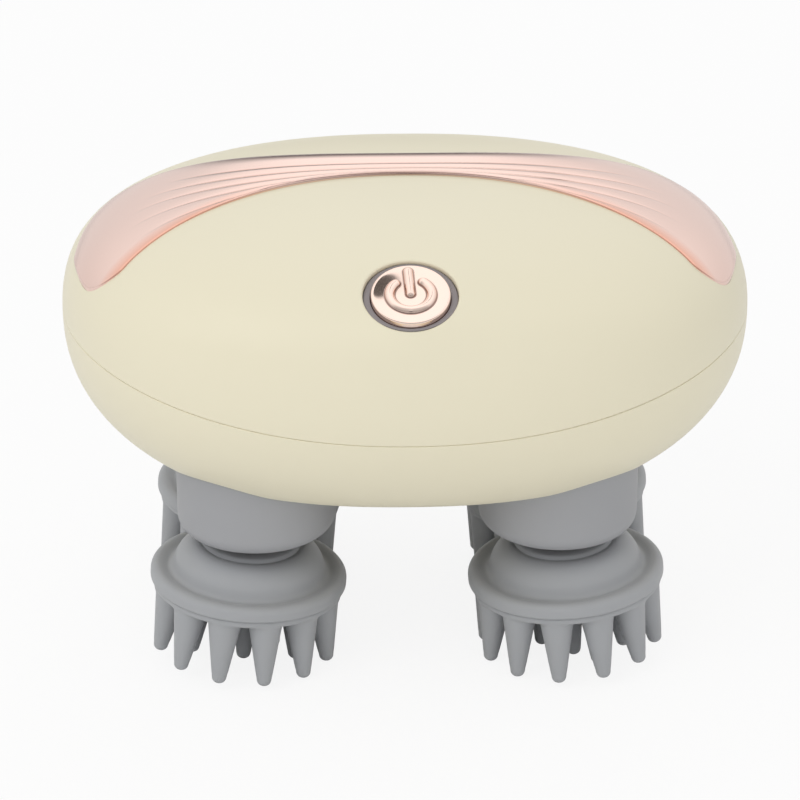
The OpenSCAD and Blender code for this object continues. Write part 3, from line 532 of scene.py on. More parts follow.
@dataclass
class BodyForm:
    """Superellipse form of the body, read along its meridians from the top of the crown.

    A place on the skin is a length down the meridian and an angle of the plan.
    """

    half_w: float = 68.0
    half_d: float = 53.0
    crown_h: float = 24.8
    belly_h: float = 39.5
    belly_cut: float = 28.6
    plan_power: float = 2.3
    crown_power: float = 2.7
    belly_power: float = 2.18
    part_drop: float = 8.8
    part_rise: float = 9.9
    wall: float = 2.4
    floor_blend: float = 3.0
    swell: float = 1.1
    swell_at: tuple[float, float, float] = (0.0, -49.6, 13.0)
    swell_size: tuple[float, float, float] = (9.0, 7.0, 7.0)
    swell_tilt: float = 24.0
    samples: int = 900
    widest_z: float = field(init=False)

    def __post_init__(self) -> None:
        """Takes the height of the widest section from the frame and tabulates the meridian."""
        self.widest_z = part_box("upper_shell")[1].z / MM - self.crown_h
        down = np.radians(np.linspace(90, 0, self.samples))
        crown = (np.cos(down) ** (2 / self.crown_power),
                 self.crown_h * np.sin(down) ** (2 / self.crown_power))
        on = np.radians(np.linspace(0, 90, self.samples))[1:]
        depth = self.belly_h * np.sin(on) ** (2 / self.belly_power)
        belly = (np.cos(on) ** (2 / self.belly_power), self.floored(-depth))
        self.share = np.clip(np.concatenate([crown[0], belly[0]]), 0, 1)
        self.height = np.concatenate([crown[1], belly[1]])
        mean = math.sqrt(self.half_w * self.half_d)
        steps = np.hypot(mean * np.diff(self.share), np.diff(self.height))
        self.length = np.concatenate([[0], np.cumsum(steps)])
        self.share_rate = np.gradient(self.share, self.length)
        self.height_rate = np.gradient(self.height, self.length)
        self.total = float(self.length[-1])

    def floored(self, height: Points) -> Points:
        """Height of the belly, flattened and rounded into the flat underside.

        Args:
            height: Height of the belly's curve over the widest section.

        Returns:
            The height that the skin has.
        """
        apart = np.abs(height + self.belly_cut)
        blend = np.maximum(self.floor_blend - apart, 0) ** 2 / (4 * self.floor_blend)
        return np.maximum(height, -self.belly_cut) + blend

    def outline(self, angle: Points) -> tuple[Points, Points]:
        """Point of the unit plan outline in a direction.

        Args:
            angle: Directions in radians.

        Returns:
            The two coordinates.
        """
        c, s = np.cos(angle), np.sin(angle)
        size = (np.abs(c) ** self.plan_power + np.abs(s) ** self.plan_power) ** (1 / self.plan_power)
        return c / size, s / size

    def skin(self, down: Points, angle: Points) -> Points:
        """Points of the skin.

        Args:
            down: Lengths down the meridian.
            angle: Directions in the plan.

        Returns:
            The points, one per row.
        """
        x, y = self.outline(angle)
        share = np.interp(down, self.length, self.share)
        height = np.interp(down, self.length, self.height)
        plain = np.stack([self.half_w * share * x, self.half_d * share * y, self.widest_z + height], 1)
        return plain + self.swollen(plain)[0][:, None] * self.swell_way()

    def swell_way(self) -> Points:
        """Direction in which the skin swells under the button: the button's own axis.

        Returns:
            The unit vector.
        """
        lean = math.radians(self.swell_tilt)
        return np.array([0.0, -math.sin(lean), math.cos(lean)])

    def swollen(self, points: Points) -> tuple[Points, Points]:
        """Slight fullness of the skin in front of the button, which keeps the button's rim level.

        Args:
            points: Points of the plain skin.

        Returns:
            The heights and their slopes.
        """
        away = (points - [0, 0, self.widest_z] - np.array(self.swell_at)) / np.array(self.swell_size)
        rise = self.swell * np.exp(-np.sum(away ** 2, axis=1))
        return rise, -2 * rise[:, None] * away / np.array(self.swell_size)

    def normal(self, down: Points, angle: Points) -> Points:
        """Outward directions of the skin.

        Args:
            down: Lengths down the meridian.
            angle: Directions in the plan.

        Returns:
            Unit vectors, one per row.
        """
        x, y = self.outline(angle)
        fall = -np.interp(down, self.length, self.height_rate)
        rise = np.interp(down, self.length, self.share_rate)
        power = self.plan_power - 1
        n = np.stack([fall * np.sign(x) * np.abs(x) ** power / self.half_w,
                      fall * np.sign(y) * np.abs(y) ** power / self.half_d, rise], 1)
        n /= np.linalg.norm(n, axis=1, keepdims=True)
        slope = self.swollen(self.skin(down, angle))[1]
        n -= slope * (n @ self.swell_way())[:, None]
        return n / np.linalg.norm(n, axis=1, keepdims=True)

    def plan_share(self, x: Points, y: Points) -> Points:
        """Size of the plan outline through a point, where 1 is the widest.

        Args:
            x: Places across.
            y: Places from front to back.

        Returns:
            The shares.
        """
        return (np.abs(x / self.half_w) ** self.plan_power
                + np.abs(y / self.half_d) ** self.plan_power) ** (1 / self.plan_power)

    def from_plan(self, x: Points, y: Points, crown: bool) -> tuple[Points, Points]:
        """Place on the skin over or under a point of the plan.

        Args:
            x: Places across.
            y: Places from front to back.
            crown: Whether the place is on the crown, and not on the belly.

        Returns:
            Lengths down the meridian and angles.
        """
        share = np.clip(self.plan_share(x, y), 0, 1)
        turn = self.samples
        if crown:
            down = np.interp(share, self.share[:turn], self.length[:turn])
        else:
            down = np.interp(-share, -self.share[turn - 1:], self.length[turn - 1:])
        return down, np.arctan2(y / self.half_d, x / self.half_w)

    def from_height(self, height: Points) -> Points:
        """Length down the meridian at which the skin has a height over the widest section.

        Args:
            height: The heights.

        Returns:
            The lengths.
        """
        return np.interp(-height, -self.height, self.length)

    def crown_at(self, x: Points, y: Points) -> Points:
        """Height of the crown over the widest section at a point of the plan.

        Args:
            x: Places across.
            y: Places from front to back.

        Returns:
            The heights.
        """
        share = np.clip(self.plan_share(x, y), 0, 1)
        return self.crown_h * (1 - share ** self.crown_power) ** (1 / self.crown_power)

    def parting(self, angle: Points) -> Points:
        """Length down the meridian of the parting line.

        Args:
            angle: Directions in the plan.

        Returns:
            The lengths.
        """
        across = self.outline(angle)[0]
        return self.from_height(-self.part_drop + self.part_rise * across ** 2)


BODY = BodyForm()


@dataclass
class ButtonPlace:
    """Where the power button sits, and the direction it faces."""

    back: float = 10.3
    tilt: float = 24.0
    radius: float = 7.5
    ring: float = 1.5
    squeeze: float = 0.75

    def matrix(self) -> Matrix:
        """Placement of the button's own frame, with +Z out of the body.

        Returns:
            The placement in millimetres.
        """
        y = self.back - BODY.half_d
        z = BODY.widest_z + float(BODY.crown_at(np.array([0.0]), np.array([y]))[0])
        return Matrix.Translation((0, y, z)) @ Matrix.Rotation(math.radians(self.tilt), 4, "X")

    def rim(self, turn: Points) -> Points:
        """Radius of the hole round the button, drawn in at the front where the body falls away.

        Args:
            turn: Directions in the button's own frame.

        Returns:
            The radii.
        """
        return self.radius + self.ring - self.squeeze * np.maximum(-np.sin(turn), 0) ** 2


BUTTON = ButtonPlace()


# ---- Shells -------------------------------------------------------------------------


@dataclass
class Opening:
    """A round opening along an upright axis, with a rounded lip."""

    x: float
    y: float
    radius: float
    lip: float = 0.5
    corners: int = 128
    depth: float | None = None
    rings: tuple[float, ...] = (0, 0.04, 0.1, 0.18, 0.3, 0.5, 0.8, 1.3, 2.0)

    def axis(self) -> Points:
        """Direction in which the opening goes into the body.

        Returns:
            The unit vector.
        """
        return np.array([0.0, 0.0, 1.0])

    def ring(self, out: float) -> tuple[Points, Points]:
        """Ring of skin places at a distance from the edge.

        Args:
            out: Distance outside the edge.

        Returns:
            Lengths down the meridian and angles.
        """
        turn = np.linspace(0, 2 * math.pi, self.corners, endpoint=False)
        r = self.radius + out
        return BODY.from_plan(self.x + r * np.cos(turn), self.y + r * np.sin(turn), False)

    def distance(self, points: Points) -> Points:
        """Distance of points from the edge, below zero inside the opening.

        Args:
            points: Points of the skin.

        Returns:
            The distances.
        """
        return np.hypot(points[:, 0] - self.x, points[:, 1] - self.y) - self.radius

    def inner_loops(self, edge: Points) -> list[Points]:
        """Loops of wall between the lip and the inside of the shell.

        Args:
            edge: Points at the foot of the lip.

        Returns:
            Further loops. A blind opening's last loop is drawn in to its middle.
        """
        if self.depth is None:
            return []
        top = edge.copy()
        top[:, 2] = self.depth
        near = top.copy()
        near[:, :2] = np.array([self.x, self.y]) + (top[:, :2] - [self.x, self.y]) * 0.2
        return [top, near]


@dataclass
class ButtonOpening(Opening):
    """The hole of the power button, square to the button's face."""

    def axis(self) -> Points:
        """Direction in which the opening goes into the body.

        Returns:
            The unit vector.
        """
        return -np.array(BUTTON.matrix())[:3, 2]

    def ring(self, out: float) -> tuple[Points, Points]:
        """Ring of skin places at a distance from the edge.

        Args:
            out: Distance outside the edge.

        Returns:
            Lengths down the meridian and angles.
        """
        frame_now = np.array(BUTTON.matrix())
        turn = np.linspace(0, 2 * math.pi, self.corners, endpoint=False)
        r = BUTTON.rim(turn) + out
        flat = frame_now[:3, 3] + np.outer(r * np.cos(turn), frame_now[:3, 0]) \
            + np.outer(r * np.sin(turn), frame_now[:3, 1])
        low, high = np.full(self.corners, -9.0), np.full(self.corners, 3.0)
        for _ in range(40):
            middle = (low + high) / 2
            p = flat + middle[:, None] * frame_now[:3, 2]
            outside = (BODY.plan_share(p[:, 0], p[:, 1]) >= 1) \
                | (p[:, 2] - BODY.widest_z > BODY.crown_at(p[:, 0], p[:, 1]))
            high = np.where(outside, middle, high)
            low = np.where(outside, low, middle)
        p = flat + low[:, None] * frame_now[:3, 2]
        return BODY.from_plan(p[:, 0], p[:, 1], True)

    def distance(self, points: Points) -> Points:
        """Distance of points from the edge, below zero inside the opening.

        Args:
            points: Points of the skin.

        Returns:
            The distances.
        """
        local = moved(points, BUTTON.matrix().inverted())
        rim = BUTTON.rim(np.arctan2(local[:, 1], local[:, 0]))
        return np.where(local[:, 2] > -12, np.hypot(local[:, 0], local[:, 1]) - rim, 50.0)


@dataclass
class PortOpening(Opening):
    """The rounded slot of the charging port, in the back of the shell."""

    half_w: float = 6.6
    half_h: float = 3.6
    corner: float = 1.5
    floor_y: float = 51.6
    slot_w: float = 4.6
    slot_h: float = 1.75

    def axis(self) -> Points:
        """Direction in which the opening goes into the body.

        Returns:
            The unit vector.
        """
        return np.array([0.0, -1.0, 0.0])

    def outline(self, half_w: float, half_h: float, corner: float) -> Points:
        """A rounded rectangle about the middle of the port.

        Args:
            half_w: Half its width.
            half_h: Half its height.
            corner: Radius of its corners.

        Returns:
            Its points across and up.
        """
        quarter = self.corners // 4
        out = []
        for k, (sx, sy) in enumerate(((1, 1), (-1, 1), (-1, -1), (1, -1))):
            turn = np.radians(90 * k) + np.linspace(0, math.pi / 2, quarter)
            out.append(np.stack([sx * (half_w - corner) + corner * np.cos(turn),
                                 sy * (half_h - corner) + corner * np.sin(turn)], 1))
        return np.concatenate(out) + [self.x, self.y]

    def ring(self, out: float) -> tuple[Points, Points]:
        """Ring of skin places at a distance from the edge.

        Args:
            out: Distance outside the edge.

        Returns:
            Lengths down the meridian and angles.
        """
        p = self.outline(self.half_w + out, self.half_h + out, self.corner + out)
        down = BODY.from_height(p[:, 1] - BODY.widest_z)
        across = p[:, 0] / (BODY.half_w * np.interp(down, BODY.length, BODY.share))
        back = (1 - np.abs(across) ** BODY.plan_power) ** (1 / BODY.plan_power)
        return down, np.arctan2(back, across)

    def distance(self, points: Points) -> Points:
        """Distance of points from the edge, below zero inside the opening.

        Args:
            points: Points of the skin.

        Returns:
            The distances.
        """
        dx = np.abs(points[:, 0] - self.x) - (self.half_w - self.corner)
        dz = np.abs(points[:, 2] - self.y) - (self.half_h - self.corner)
        far = np.hypot(np.maximum(dx, 0), np.maximum(dz, 0)) + np.minimum(np.maximum(dx, dz), 0) - self.corner
        return np.where(points[:, 1] > 0, far, 50.0)

    def inner_loops(self, edge: Points) -> list[Points]:
        """Loops of the recess that the stopper fills, down to the socket's slot.

        Args:
            edge: Points at the foot of the lip.

        Returns:
            Further loops.
        """
        floor = edge.copy()
        floor[:, 1] = self.floor_y
        slot = self.outline(self.slot_w, self.slot_h, 0.4)
        mouth = np.stack([slot[:, 0], np.full(len(slot), self.floor_y), slot[:, 1]], 1)
        return [floor, mouth, mouth - [0, 0.6, 0]]


@dataclass
class Shell:
    """One half of the casing: a skin with openings, a wall and a rounded parting edge."""

    name: str
    node: str
    upper: bool
    openings: list[Opening]
    spacing: float = 1.7
    seam: float = 0.05
    seam_lip: float = 0.16
    seam_rings: tuple[float, ...] = (0, 0.03, 0.07, 0.12, 0.2, 0.4, 0.8, 1.5)
    seam_corners: int = 320

    def reach(self, angle: Points) -> Points:
        """Length from this shell's own pole to its parting edge.

        Args:
            angle: Directions in the plan.

        Returns:
            The lengths.
        """
        part = BODY.parting(angle)
        return (part if self.upper else BODY.total - part) - self.seam

    def unrolled(self, down: Points, angle: Points) -> Points:
        """Place of the skin in this shell's flat map.

        Args:
            down: Lengths down the meridian.
            angle: Directions in the plan.

        Returns:
            Flat points.
        """
        far = down if self.upper else BODY.total - down
        return np.stack([far * np.cos(angle), far * np.sin(angle)], 1)

    def rolled(self, flat: Points) -> tuple[Points, Points]:
        """Place on the skin of a point of the flat map.

        Args:
            flat: Flat points.

        Returns:
            Lengths down the meridian and angles.
        """
        far = np.hypot(flat[:, 0], flat[:, 1])
        return (far if self.upper else BODY.total - far), np.arctan2(flat[:, 1], flat[:, 0])

    def lowered(self, out: float, lip: float) -> float:
        """Depth of a rounded lip at a distance from its edge.

        Args:
            out: Distance from the edge.
            lip: Radius of the lip.

        Returns:
            The depth below the skin.
        """
        return lip - math.sqrt(max(lip * lip - (lip - out) ** 2, 0)) if out < lip else 0.0

    def background(self) -> tuple[Points, Points]:
        """Even rings of skin places away from the openings and the parting edge.

        Returns:
            Lengths down the meridian and angles.
        """
        mean = float(np.mean(self.reach(np.linspace(0, 2 * math.pi, 64))))
        rows = int(mean / self.spacing)
        downs, angles = [np.array([0.0 if self.upper else BODY.total])], [np.array([0.0])]
        for k in range(1, rows):
            count = max(8, int(2 * math.pi * k))
            angle = (np.arange(count) + 0.5 * (k % 2)) * 2 * math.pi / count
            far = self.reach(angle) * k / rows
            keep = far < self.reach(angle) - self.seam_rings[-1] - 0.6
            downs.append((far if self.upper else BODY.total - far)[keep])
            angles.append(angle[keep])
        down, angle = np.concatenate(downs), np.concatenate(angles)
        points = BODY.skin(down, angle)
        clear = np.min([o.distance(points) - o.rings[-1] for o in self.openings], axis=0)
        keep = clear > 0.7
        return down[keep], angle[keep]

    def build(self, material: bpy.types.Material) -> bpy.types.Object:
        """Builds the shell as one closed mesh.

        Args:
            material: Finish of the shell.

        Returns:
            The object.
        """
        down, angle = self.background()
        place_down, place_angle = [down], [angle]
        sink = [np.zeros((len(down), 3))]
        pull = [np.zeros((len(down), 3))]
        loops: list[list[int]] = []
        count = len(down)
        seam_angle = np.linspace(0, 2 * math.pi, self.seam_corners, endpoint=False)
        for out in self.seam_rings:
            far = self.reach(seam_angle) - out
            d = far if self.upper else BODY.total - far
            place_down.append(d)
            place_angle.append(seam_angle)
            sink.append(-self.lowered(out, self.seam_lip) * BODY.normal(d, seam_angle))
            pull.append(np.zeros((len(d), 3)))
            if out == 0:
                loops.append(list(range(count, count + len(d))))
            count += len(d)
        for opening in self.openings:
            axis = opening.axis()
            for out in opening.rings:
                d, a = opening.ring(out)
                place_down.append(d)
                place_angle.append(a)
                sink.append(np.tile(self.lowered(out, opening.lip) * axis, (len(d), 1)))
                pull.append(np.tile(axis * (1 - out / opening.rings[-1]), (len(d), 1)))
                if out == 0:
                    loops.append(list(range(count, count + len(d))))
                count += len(d)
        down, angle = np.concatenate(place_down), np.concatenate(place_angle)
        normal = BODY.normal(down, angle)
        outer = BODY.skin(down, angle) + np.concatenate(sink)
        inner = outer + BODY.wall * self.inward(normal, np.concatenate(pull))
        triangles = self.triangles(down, angle, loops)
        points = [outer, inner]
        size = len(outer)
        faces: Faces = list(triangles) + [(c + size, b + size, a + size) for a, b, c in triangles]
        total = 2 * size
        for k, loop in enumerate(loops):
            steps = [] if k == 0 else self.openings[k - 1].inner_loops(outer[loop])
            blind = k > 0 and self.openings[k - 1].depth is not None
            before = loop
            walls: Faces = []
            for step in steps:
                here = list(range(total, total + len(step)))
                points.append(step)
                total += len(step)
                walls += strip(before, here)
                before = here
            if blind:
                walls.append(tuple(before))
                walls += [tuple(reversed([i + size for i in loop]))]
            else:
                walls += strip(before, [i + size for i in loop])
            if (k == 0) == self.upper:
                walls = [tuple(reversed(f)) for f in walls]
            faces += walls
        obj = make_object(self.name, np.concatenate(points), faces, material)
        smooth = np.zeros((total, 3))
        flat_enough = np.linalg.norm(np.concatenate(sink), axis=1) < 1e-9
        smooth[:size][flat_enough] = normal[flat_enough]
        obj.data.normals_split_custom_set_from_vertices(smooth.tolist())
        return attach(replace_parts(obj, self.node), "housing")

    def inward(self, normal: Points, pull: Points) -> Points:
        """Direction from the outer skin to the inner one, turned towards an opening's axis near it.

        Args:
            normal: Outward directions of the skin.
            pull: Axis of the nearest opening, shorter with distance.

        Returns:
            Vectors of the length that keeps the wall.
        """
        weight = np.linalg.norm(pull, axis=1, keepdims=True)
        axis = np.where(weight > 0, pull / np.maximum(weight, 1e-9), -normal)
        lean = np.maximum(np.abs(np.sum(axis * normal, axis=1, keepdims=True)), 0.5)
        return -normal * (1 - weight) + axis / lean * weight

    def triangles(self, down: Points, angle: Points, loops: list[list[int]]) -> Faces:
        """Triangles of the skin between the parting edge and the openings.

        Args:
            down: Lengths down the meridian of every skin place.
            angle: Angles of every skin place.
            loops: Corner numbers of the parting edge and of each opening's edge.

        Returns:
            Triangles that face outwards.
        """
        flat = self.unrolled(down, angle)
        edges = [(loop[i], loop[(i + 1) % len(loop)]) for loop in loops for i in range(len(loop))]
        found = delaunay_2d_cdt([Vector(p) for p in flat], edges, [], 0, 1e-7)
        origin = [o[0] if o else -1 for o in found[3]]
        made = np.array([[origin[i] for i in f] for f in found[2] if len(f) == 3])
        made = made[(made >= 0).all(axis=1)]
        middle = flat[made].mean(axis=1)
        d, a = self.rolled(middle)
        inside = np.hypot(middle[:, 0], middle[:, 1]) < self.reach(a) + 1e-6
        p = BODY.skin(d, a)
        for opening in self.openings:
            inside &= opening.distance(p) > 0
        made = made[inside]
        if not self.upper:
            made = made[:, ::-1]
        return [tuple(int(i) for i in f) for f in made]


# ---- Trim band ----------------------------------------------------------------------


@dataclass
class TrimBand:
    """Ribbed band that crosses the crown and widens to a paddle on each side."""

    front: float = 2.48
    rear: float = 14.8
    reach: float = 58.5
    sweep: float = 29.1
    sweep_power: float = 2.04
    tail_bow: float = 8.2
    tail_drop: float = 35.55
    drop_power: float = 4.0
    tail_inset: float = 2.7
    end_push: float = 0.003
    end_round: float = 0.075
    face: float = 0.3
    rib: float = 0.42
    line_depth: float = 0.13
    line_half: float = 0.24
    grooves: int = 5
    groove_least: float = 0.016
    groove_start: float = -0.06
    groove_spread: float = 0.544
    groove_bow: float = 0.27
    groove_fan: float = 0.42
    groove_turn: float = 150.0
    # Width of the painted reflection along the paddles' front edges.
    reflection_reach: float = 3.4
    stations: int = 220
    rows: int = 160
    edge: float = 0.28
    sunk: float = -0.3

    def edges(self, s: Points) -> tuple[Points, Points]:
        """Front and rear edge in the plan at stations from -1 to 1.

        Args:
            s: Stations along the band.

        Returns:
            Points of the two edges.
        """
        front = np.stack([self.reach * s, self.front - self.sweep * np.abs(s) ** self.sweep_power], -1)
        tail = BODY.half_w - self.tail_inset
        rear = np.stack([tail * np.sin(np.pi / 2 * s),
                         self.rear + self.tail_bow * np.sin(np.radians(108) * s) ** 2
                         - self.tail_drop * np.abs(s) ** self.drop_power], -1)
        return front, rear

    def groove(self, k: int, s: Points) -> Points:
        """Share of the width at which a groove runs.

        Args:
            k: Number of the groove, from 1 at the front.
            s: Stations along the band.

        Returns:
            The shares.
        """
        f = (k - 1) / (self.grooves - 1)
        bow = self.groove_bow + self.groove_fan * math.sin(math.radians(self.groove_turn * f))
        return np.maximum(self.groove_least * k, self.groove_start + self.groove_spread * f * f + bow * s * s)

    def relief(self, s: Points, w: Points) -> Points:
        """Height of the ribs, which are round between sharp grooves and fade into the paddles.

        Args:
            s: Stations along the band.
            w: Shares of the width.

        Returns:
            Heights over the band's face.
        """
        grooves = [self.groove(k, s) for k in range(1, self.grooves + 1)]
        lines = [np.zeros_like(s)] + grooves + [np.ones_like(s)]
        cut = np.zeros_like(s)
        for k in range(self.grooves + 1):
            low, high = lines[k], lines[k + 1]
            here = (w >= low) & (w <= high)
            half = np.maximum((high - low) / 2, 1e-6)
            for line, number in ((low, k), (high, k + 1)):
                near = np.clip(1 - np.abs(w - line) / half, 0, 1)
                cut = np.where(here, np.maximum(cut, self.fade(number, s) * near ** 2), cut)
        tall = self.rib * (1 - 0.75 * smooth_step(0.25, 0.85, np.abs(s)))
        return tall * (1 - cut) - self.line_depth * self.lines(s, w)

    def lines(self, s: Points, w: Points) -> Points:
        """Strength of the fine lines at the foot of the grooves.

        Args:
            s: Stations along the band.
            w: Shares of the width.

        Returns:
            Strengths from 0 to 1.
        """
        front, rear = self.edges(s)
        width = np.linalg.norm(rear - front, axis=1)
        strength = np.zeros_like(s)
        for k in range(1, self.grooves + 1):
            away = (w - self.groove(k, s)) * width / self.line_half
            strength = np.maximum(strength, self.fade(k, s) * np.exp(-away ** 2))
        return strength

    def fade(self, number: int, s: Points) -> Points:
        """Strength of a groove, which ends earlier the further back it lies.

        Args:
            number: Number of the line, from 0 at the front edge.
            s: Stations along the band.

        Returns:
            Strengths from 0 to 1.
        """
        if number in (0, self.grooves + 1):
            return 0.7 * (1 - smooth_step(0.2, 0.7, np.abs(s)))
        f = (number - 1) / (self.grooves - 1)
        end = 0.86 - 0.24 * f * f
        return 1 - smooth_step(end - 0.22, end + 0.02, np.abs(s))

    def points(self, s: Points, w: Points, out: Points) -> Points:
        """Points over the crown.

        Args:
            s: Stations along the band.
            w: Shares of the width.
            out: Heights over the skin.

        Returns:
            The points, one per row.
        """
        bow = 1 - np.sqrt(np.clip(1 - (2 * w - 1) ** 2, 0, 1))
        t = s * (1 + np.abs(s) ** 8 * (self.end_push - self.end_round * bow))
        front, rear = self.edges(t)
        plan = front + (rear - front) * w[:, None]
        down, angle = BODY.from_plan(plan[:, 0], plan[:, 1], True)
        return BODY.skin(down, angle) + out[:, None] * BODY.normal(down, angle)

    def build(self, material: bpy.types.Material) -> bpy.types.Object:
        """Builds the band as one closed mesh.

        Args:
            material: Finish of the band.

        Returns:
            The object.
        """
        v = np.linspace(-1, 1, self.stations + 1)
        s_line = 0.5 * (v + np.sin(np.pi / 2 * v))
        near = np.array([0, 0.003, 0.008, 0.015, 0.025, 0.038])
        w_line = np.concatenate([near, np.linspace(0.05, 0.95, self.rows), 1 - near[::-1]])
        s, w = [a.ravel() for a in np.meshgrid(s_line, w_line, indexing="ij")]
        front, rear = self.edges(s)
        width = np.linalg.norm(rear - front, axis=1)
        from_edge = np.minimum(np.minimum(w, 1 - w) * width, (1 - np.abs(s)) * self.reach * 1.4)
        near_edge = np.clip(self.edge - from_edge, 0, None)
        drop = self.edge - np.sqrt(np.maximum(self.edge ** 2 - near_edge ** 2, 0))
        top = self.points(s, w, self.face * (1 - 0.3 * s * s) + self.relief(s, w) - drop)
        under = self.points(s, w, np.full_like(s, self.sunk))
        m, n = len(s_line), len(w_line)
        k = m * n
        number = np.arange(k).reshape(m, n)
        a, b, c, d = number[:-1, :-1], number[1:, :-1], number[1:, 1:], number[:-1, 1:]
        quads = np.stack([a, b, c, d], -1).reshape(-1, 4)
        faces: Faces = [tuple(q) for q in quads.tolist() + (quads[:, ::-1] + k).tolist()]
        sides = (number[:, 0], number[-1, 1:], number[-2::-1, -1], number[0, -2:0:-1])
        rim = [int(i) for side in sides for i in side]
        faces += strip([i + k for i in rim], rim)
        obj = make_object("trim_band_polished", np.concatenate([top, under]), faces, material)
        # Painted reflection: a salmon strip along the front edge of each paddle.
        front_share = 1 - np.clip(w * width / self.reflection_reach, 0, 1)
        glow = front_share * smooth_step(0.3, 0.75, np.abs(s))
        # Painted shade along the grooves' fine lines, fainter towards the paddles.
        soft = 0.85 - 0.45 * smooth_step(0.3, 0.85, np.abs(s))
        set_mask(obj, "line_mask", np.concatenate([soft * self.lines(s, w), np.zeros(k)]))
        set_mask(obj, "edge_mask", np.concatenate([glow, np.zeros(k)]))
        weigh_normals(obj)
        settle(obj)
        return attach(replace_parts(obj, "trim_band"), "housing")


# ---- Button -------------------------------------------------------------------------


@dataclass
class PowerButton:
    """Polished cap with a raised power mark, in a satin ring."""

    face: float = 0.1
    dish: float = 0.3
    edge_round: float = 0.32
    ring_drop: float = 1.2
    # Width and strength of the painted shade round the mark's foot, and strength of the painted shade on the
    # cap's side.
    line_half: float = 0.16
    foot_shade_strength: float = 0.8
    painted_side_shade: float = 0.7
    mark_radius: float = 3.95
    mark_half: float = 0.98
    mark_high: float = 0.85
    mark_gap: float = 41.0
    mark_turn: float = 4.0
    bar_low: float = 0.2
    bar_high: float = 5.8
    around: int = 256
    rings: int = 84

    def mark_distance(self, x: Points, y: Points) -> Points:
        """Distance from the middle line of the power mark: an open ring and a bar, with round ends.

        Args:
            x: Places across the face.
            y: Places up the face.

        Returns:
            The distances.
        """
        turn = math.radians(self.mark_turn)
        u, v = x * math.cos(turn) + y * math.sin(turn), -x * math.sin(turn) + y * math.cos(turn)
        far = np.hypot(u, v)
        from_top = np.degrees(np.abs(np.arctan2(u, v)))
        end = math.radians(self.mark_gap)
        ends = np.hypot(np.abs(u) - self.mark_radius * math.sin(end), v - self.mark_radius * math.cos(end))
        ring = np.where(from_top > self.mark_gap, np.abs(far - self.mark_radius), ends)
        bar = np.hypot(u, v - np.clip(v, self.bar_low, self.bar_high))
        return np.minimum(ring, bar)

    def mark(self, x: Points, y: Points) -> Points:
        """Height of the power mark over the face.

        Args:
            x: Places across the face.
            y: Places up the face.

        Returns:
            The heights.
        """
        near = np.clip(self.mark_distance(x, y) / self.mark_half, 0, 1)
        return self.mark_high * (1 - near ** 2) ** 0.75

    def painted_foot_shade(self, x: Points, y: Points) -> Points:
        """Strength of the painted shade round the foot of the mark.

        Args:
            x: Places across the face.
            y: Places up the face.

        Returns:
            Strengths from 0 to 1.
        """
        away = (self.mark_distance(x, y) - self.mark_half) / self.line_half
        return self.foot_shade_strength * np.exp(-away ** 2)

    def build(self, metal: bpy.types.Material, satin: bpy.types.Material) -> list[bpy.types.Object]:
        """Builds the cap and its ring.

        Args:
            metal: Finish of the cap.
            satin: Finish of the ring.

        Returns:
            The two objects.
        """
        place = BUTTON.matrix()
        r = BUTTON.radius
        side = [(0, -4.0), (2.6, -4.0), (2.6, -3.3), (r + 0.7, -3.3), (r + 0.7, -2.5), (r, -2.45),
                (r, self.face - self.edge_round)]
        edge = [(r - self.edge_round * (1 - math.cos(a)),
                 self.face - self.edge_round + self.edge_round * math.sin(a))
                for a in np.radians([15, 30, 45, 60, 75, 90])]
        flat = np.linspace(r - 0.45, 0, self.rings)
        profile = side + edge + [(q, self.face - self.dish * (1 - (q / r) ** 2) ** 0.7) for q in flat]
        points, faces = turned(profile, False, self.around)
        on_face = points[:, 2] > self.face - self.dish - 0.02
        points[:, 2] += np.where(on_face, self.mark(points[:, 0], points[:, 1]), 0.0)
        cap = make_object("power_button_cap", moved(points, place), faces, metal)
        # Painted shade round the foot of the mark and on the cap's side wall.
        below = points[:, 2] < self.face - 0.33
        lines = self.painted_foot_shade(points[:, 0], points[:, 1]) * on_face
        set_mask(cap, "line_mask", lines + self.painted_side_shade * below)
        face_outwards(cap)
        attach(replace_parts(cap, "power_button"), "button")
        hole = r + BUTTON.ring
        top = self.face - self.ring_drop
        outline = rounded([(r + 0.14, top, 0.12), (hole - 0.1, top, 0.1), (hole - 0.1, top - 3.9, 0),
                           (r + 0.9, top - 3.9, 0), (r + 0.9, top - 1.3, 0), (r + 0.14, top - 1.3, 0)])
        points, faces = turned(outline, True)
        far, turn = np.hypot(points[:, 0], points[:, 1]), np.arctan2(points[:, 1], points[:, 0])
        share = np.clip((far - r - 0.3) / (hole - r - 0.3), 0, 1)
        points[:, :2] *= (1 - share * (1 - BUTTON.rim(turn) / hole))[:, None]
        ring = make_object("button_ring", moved(points, place), faces, satin)
        finish_mesh(ring)
        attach(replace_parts(ring, "button_bezel"), "housing")
        return [cap, ring]


# ---- Charging port ------------------------------------------------------------------


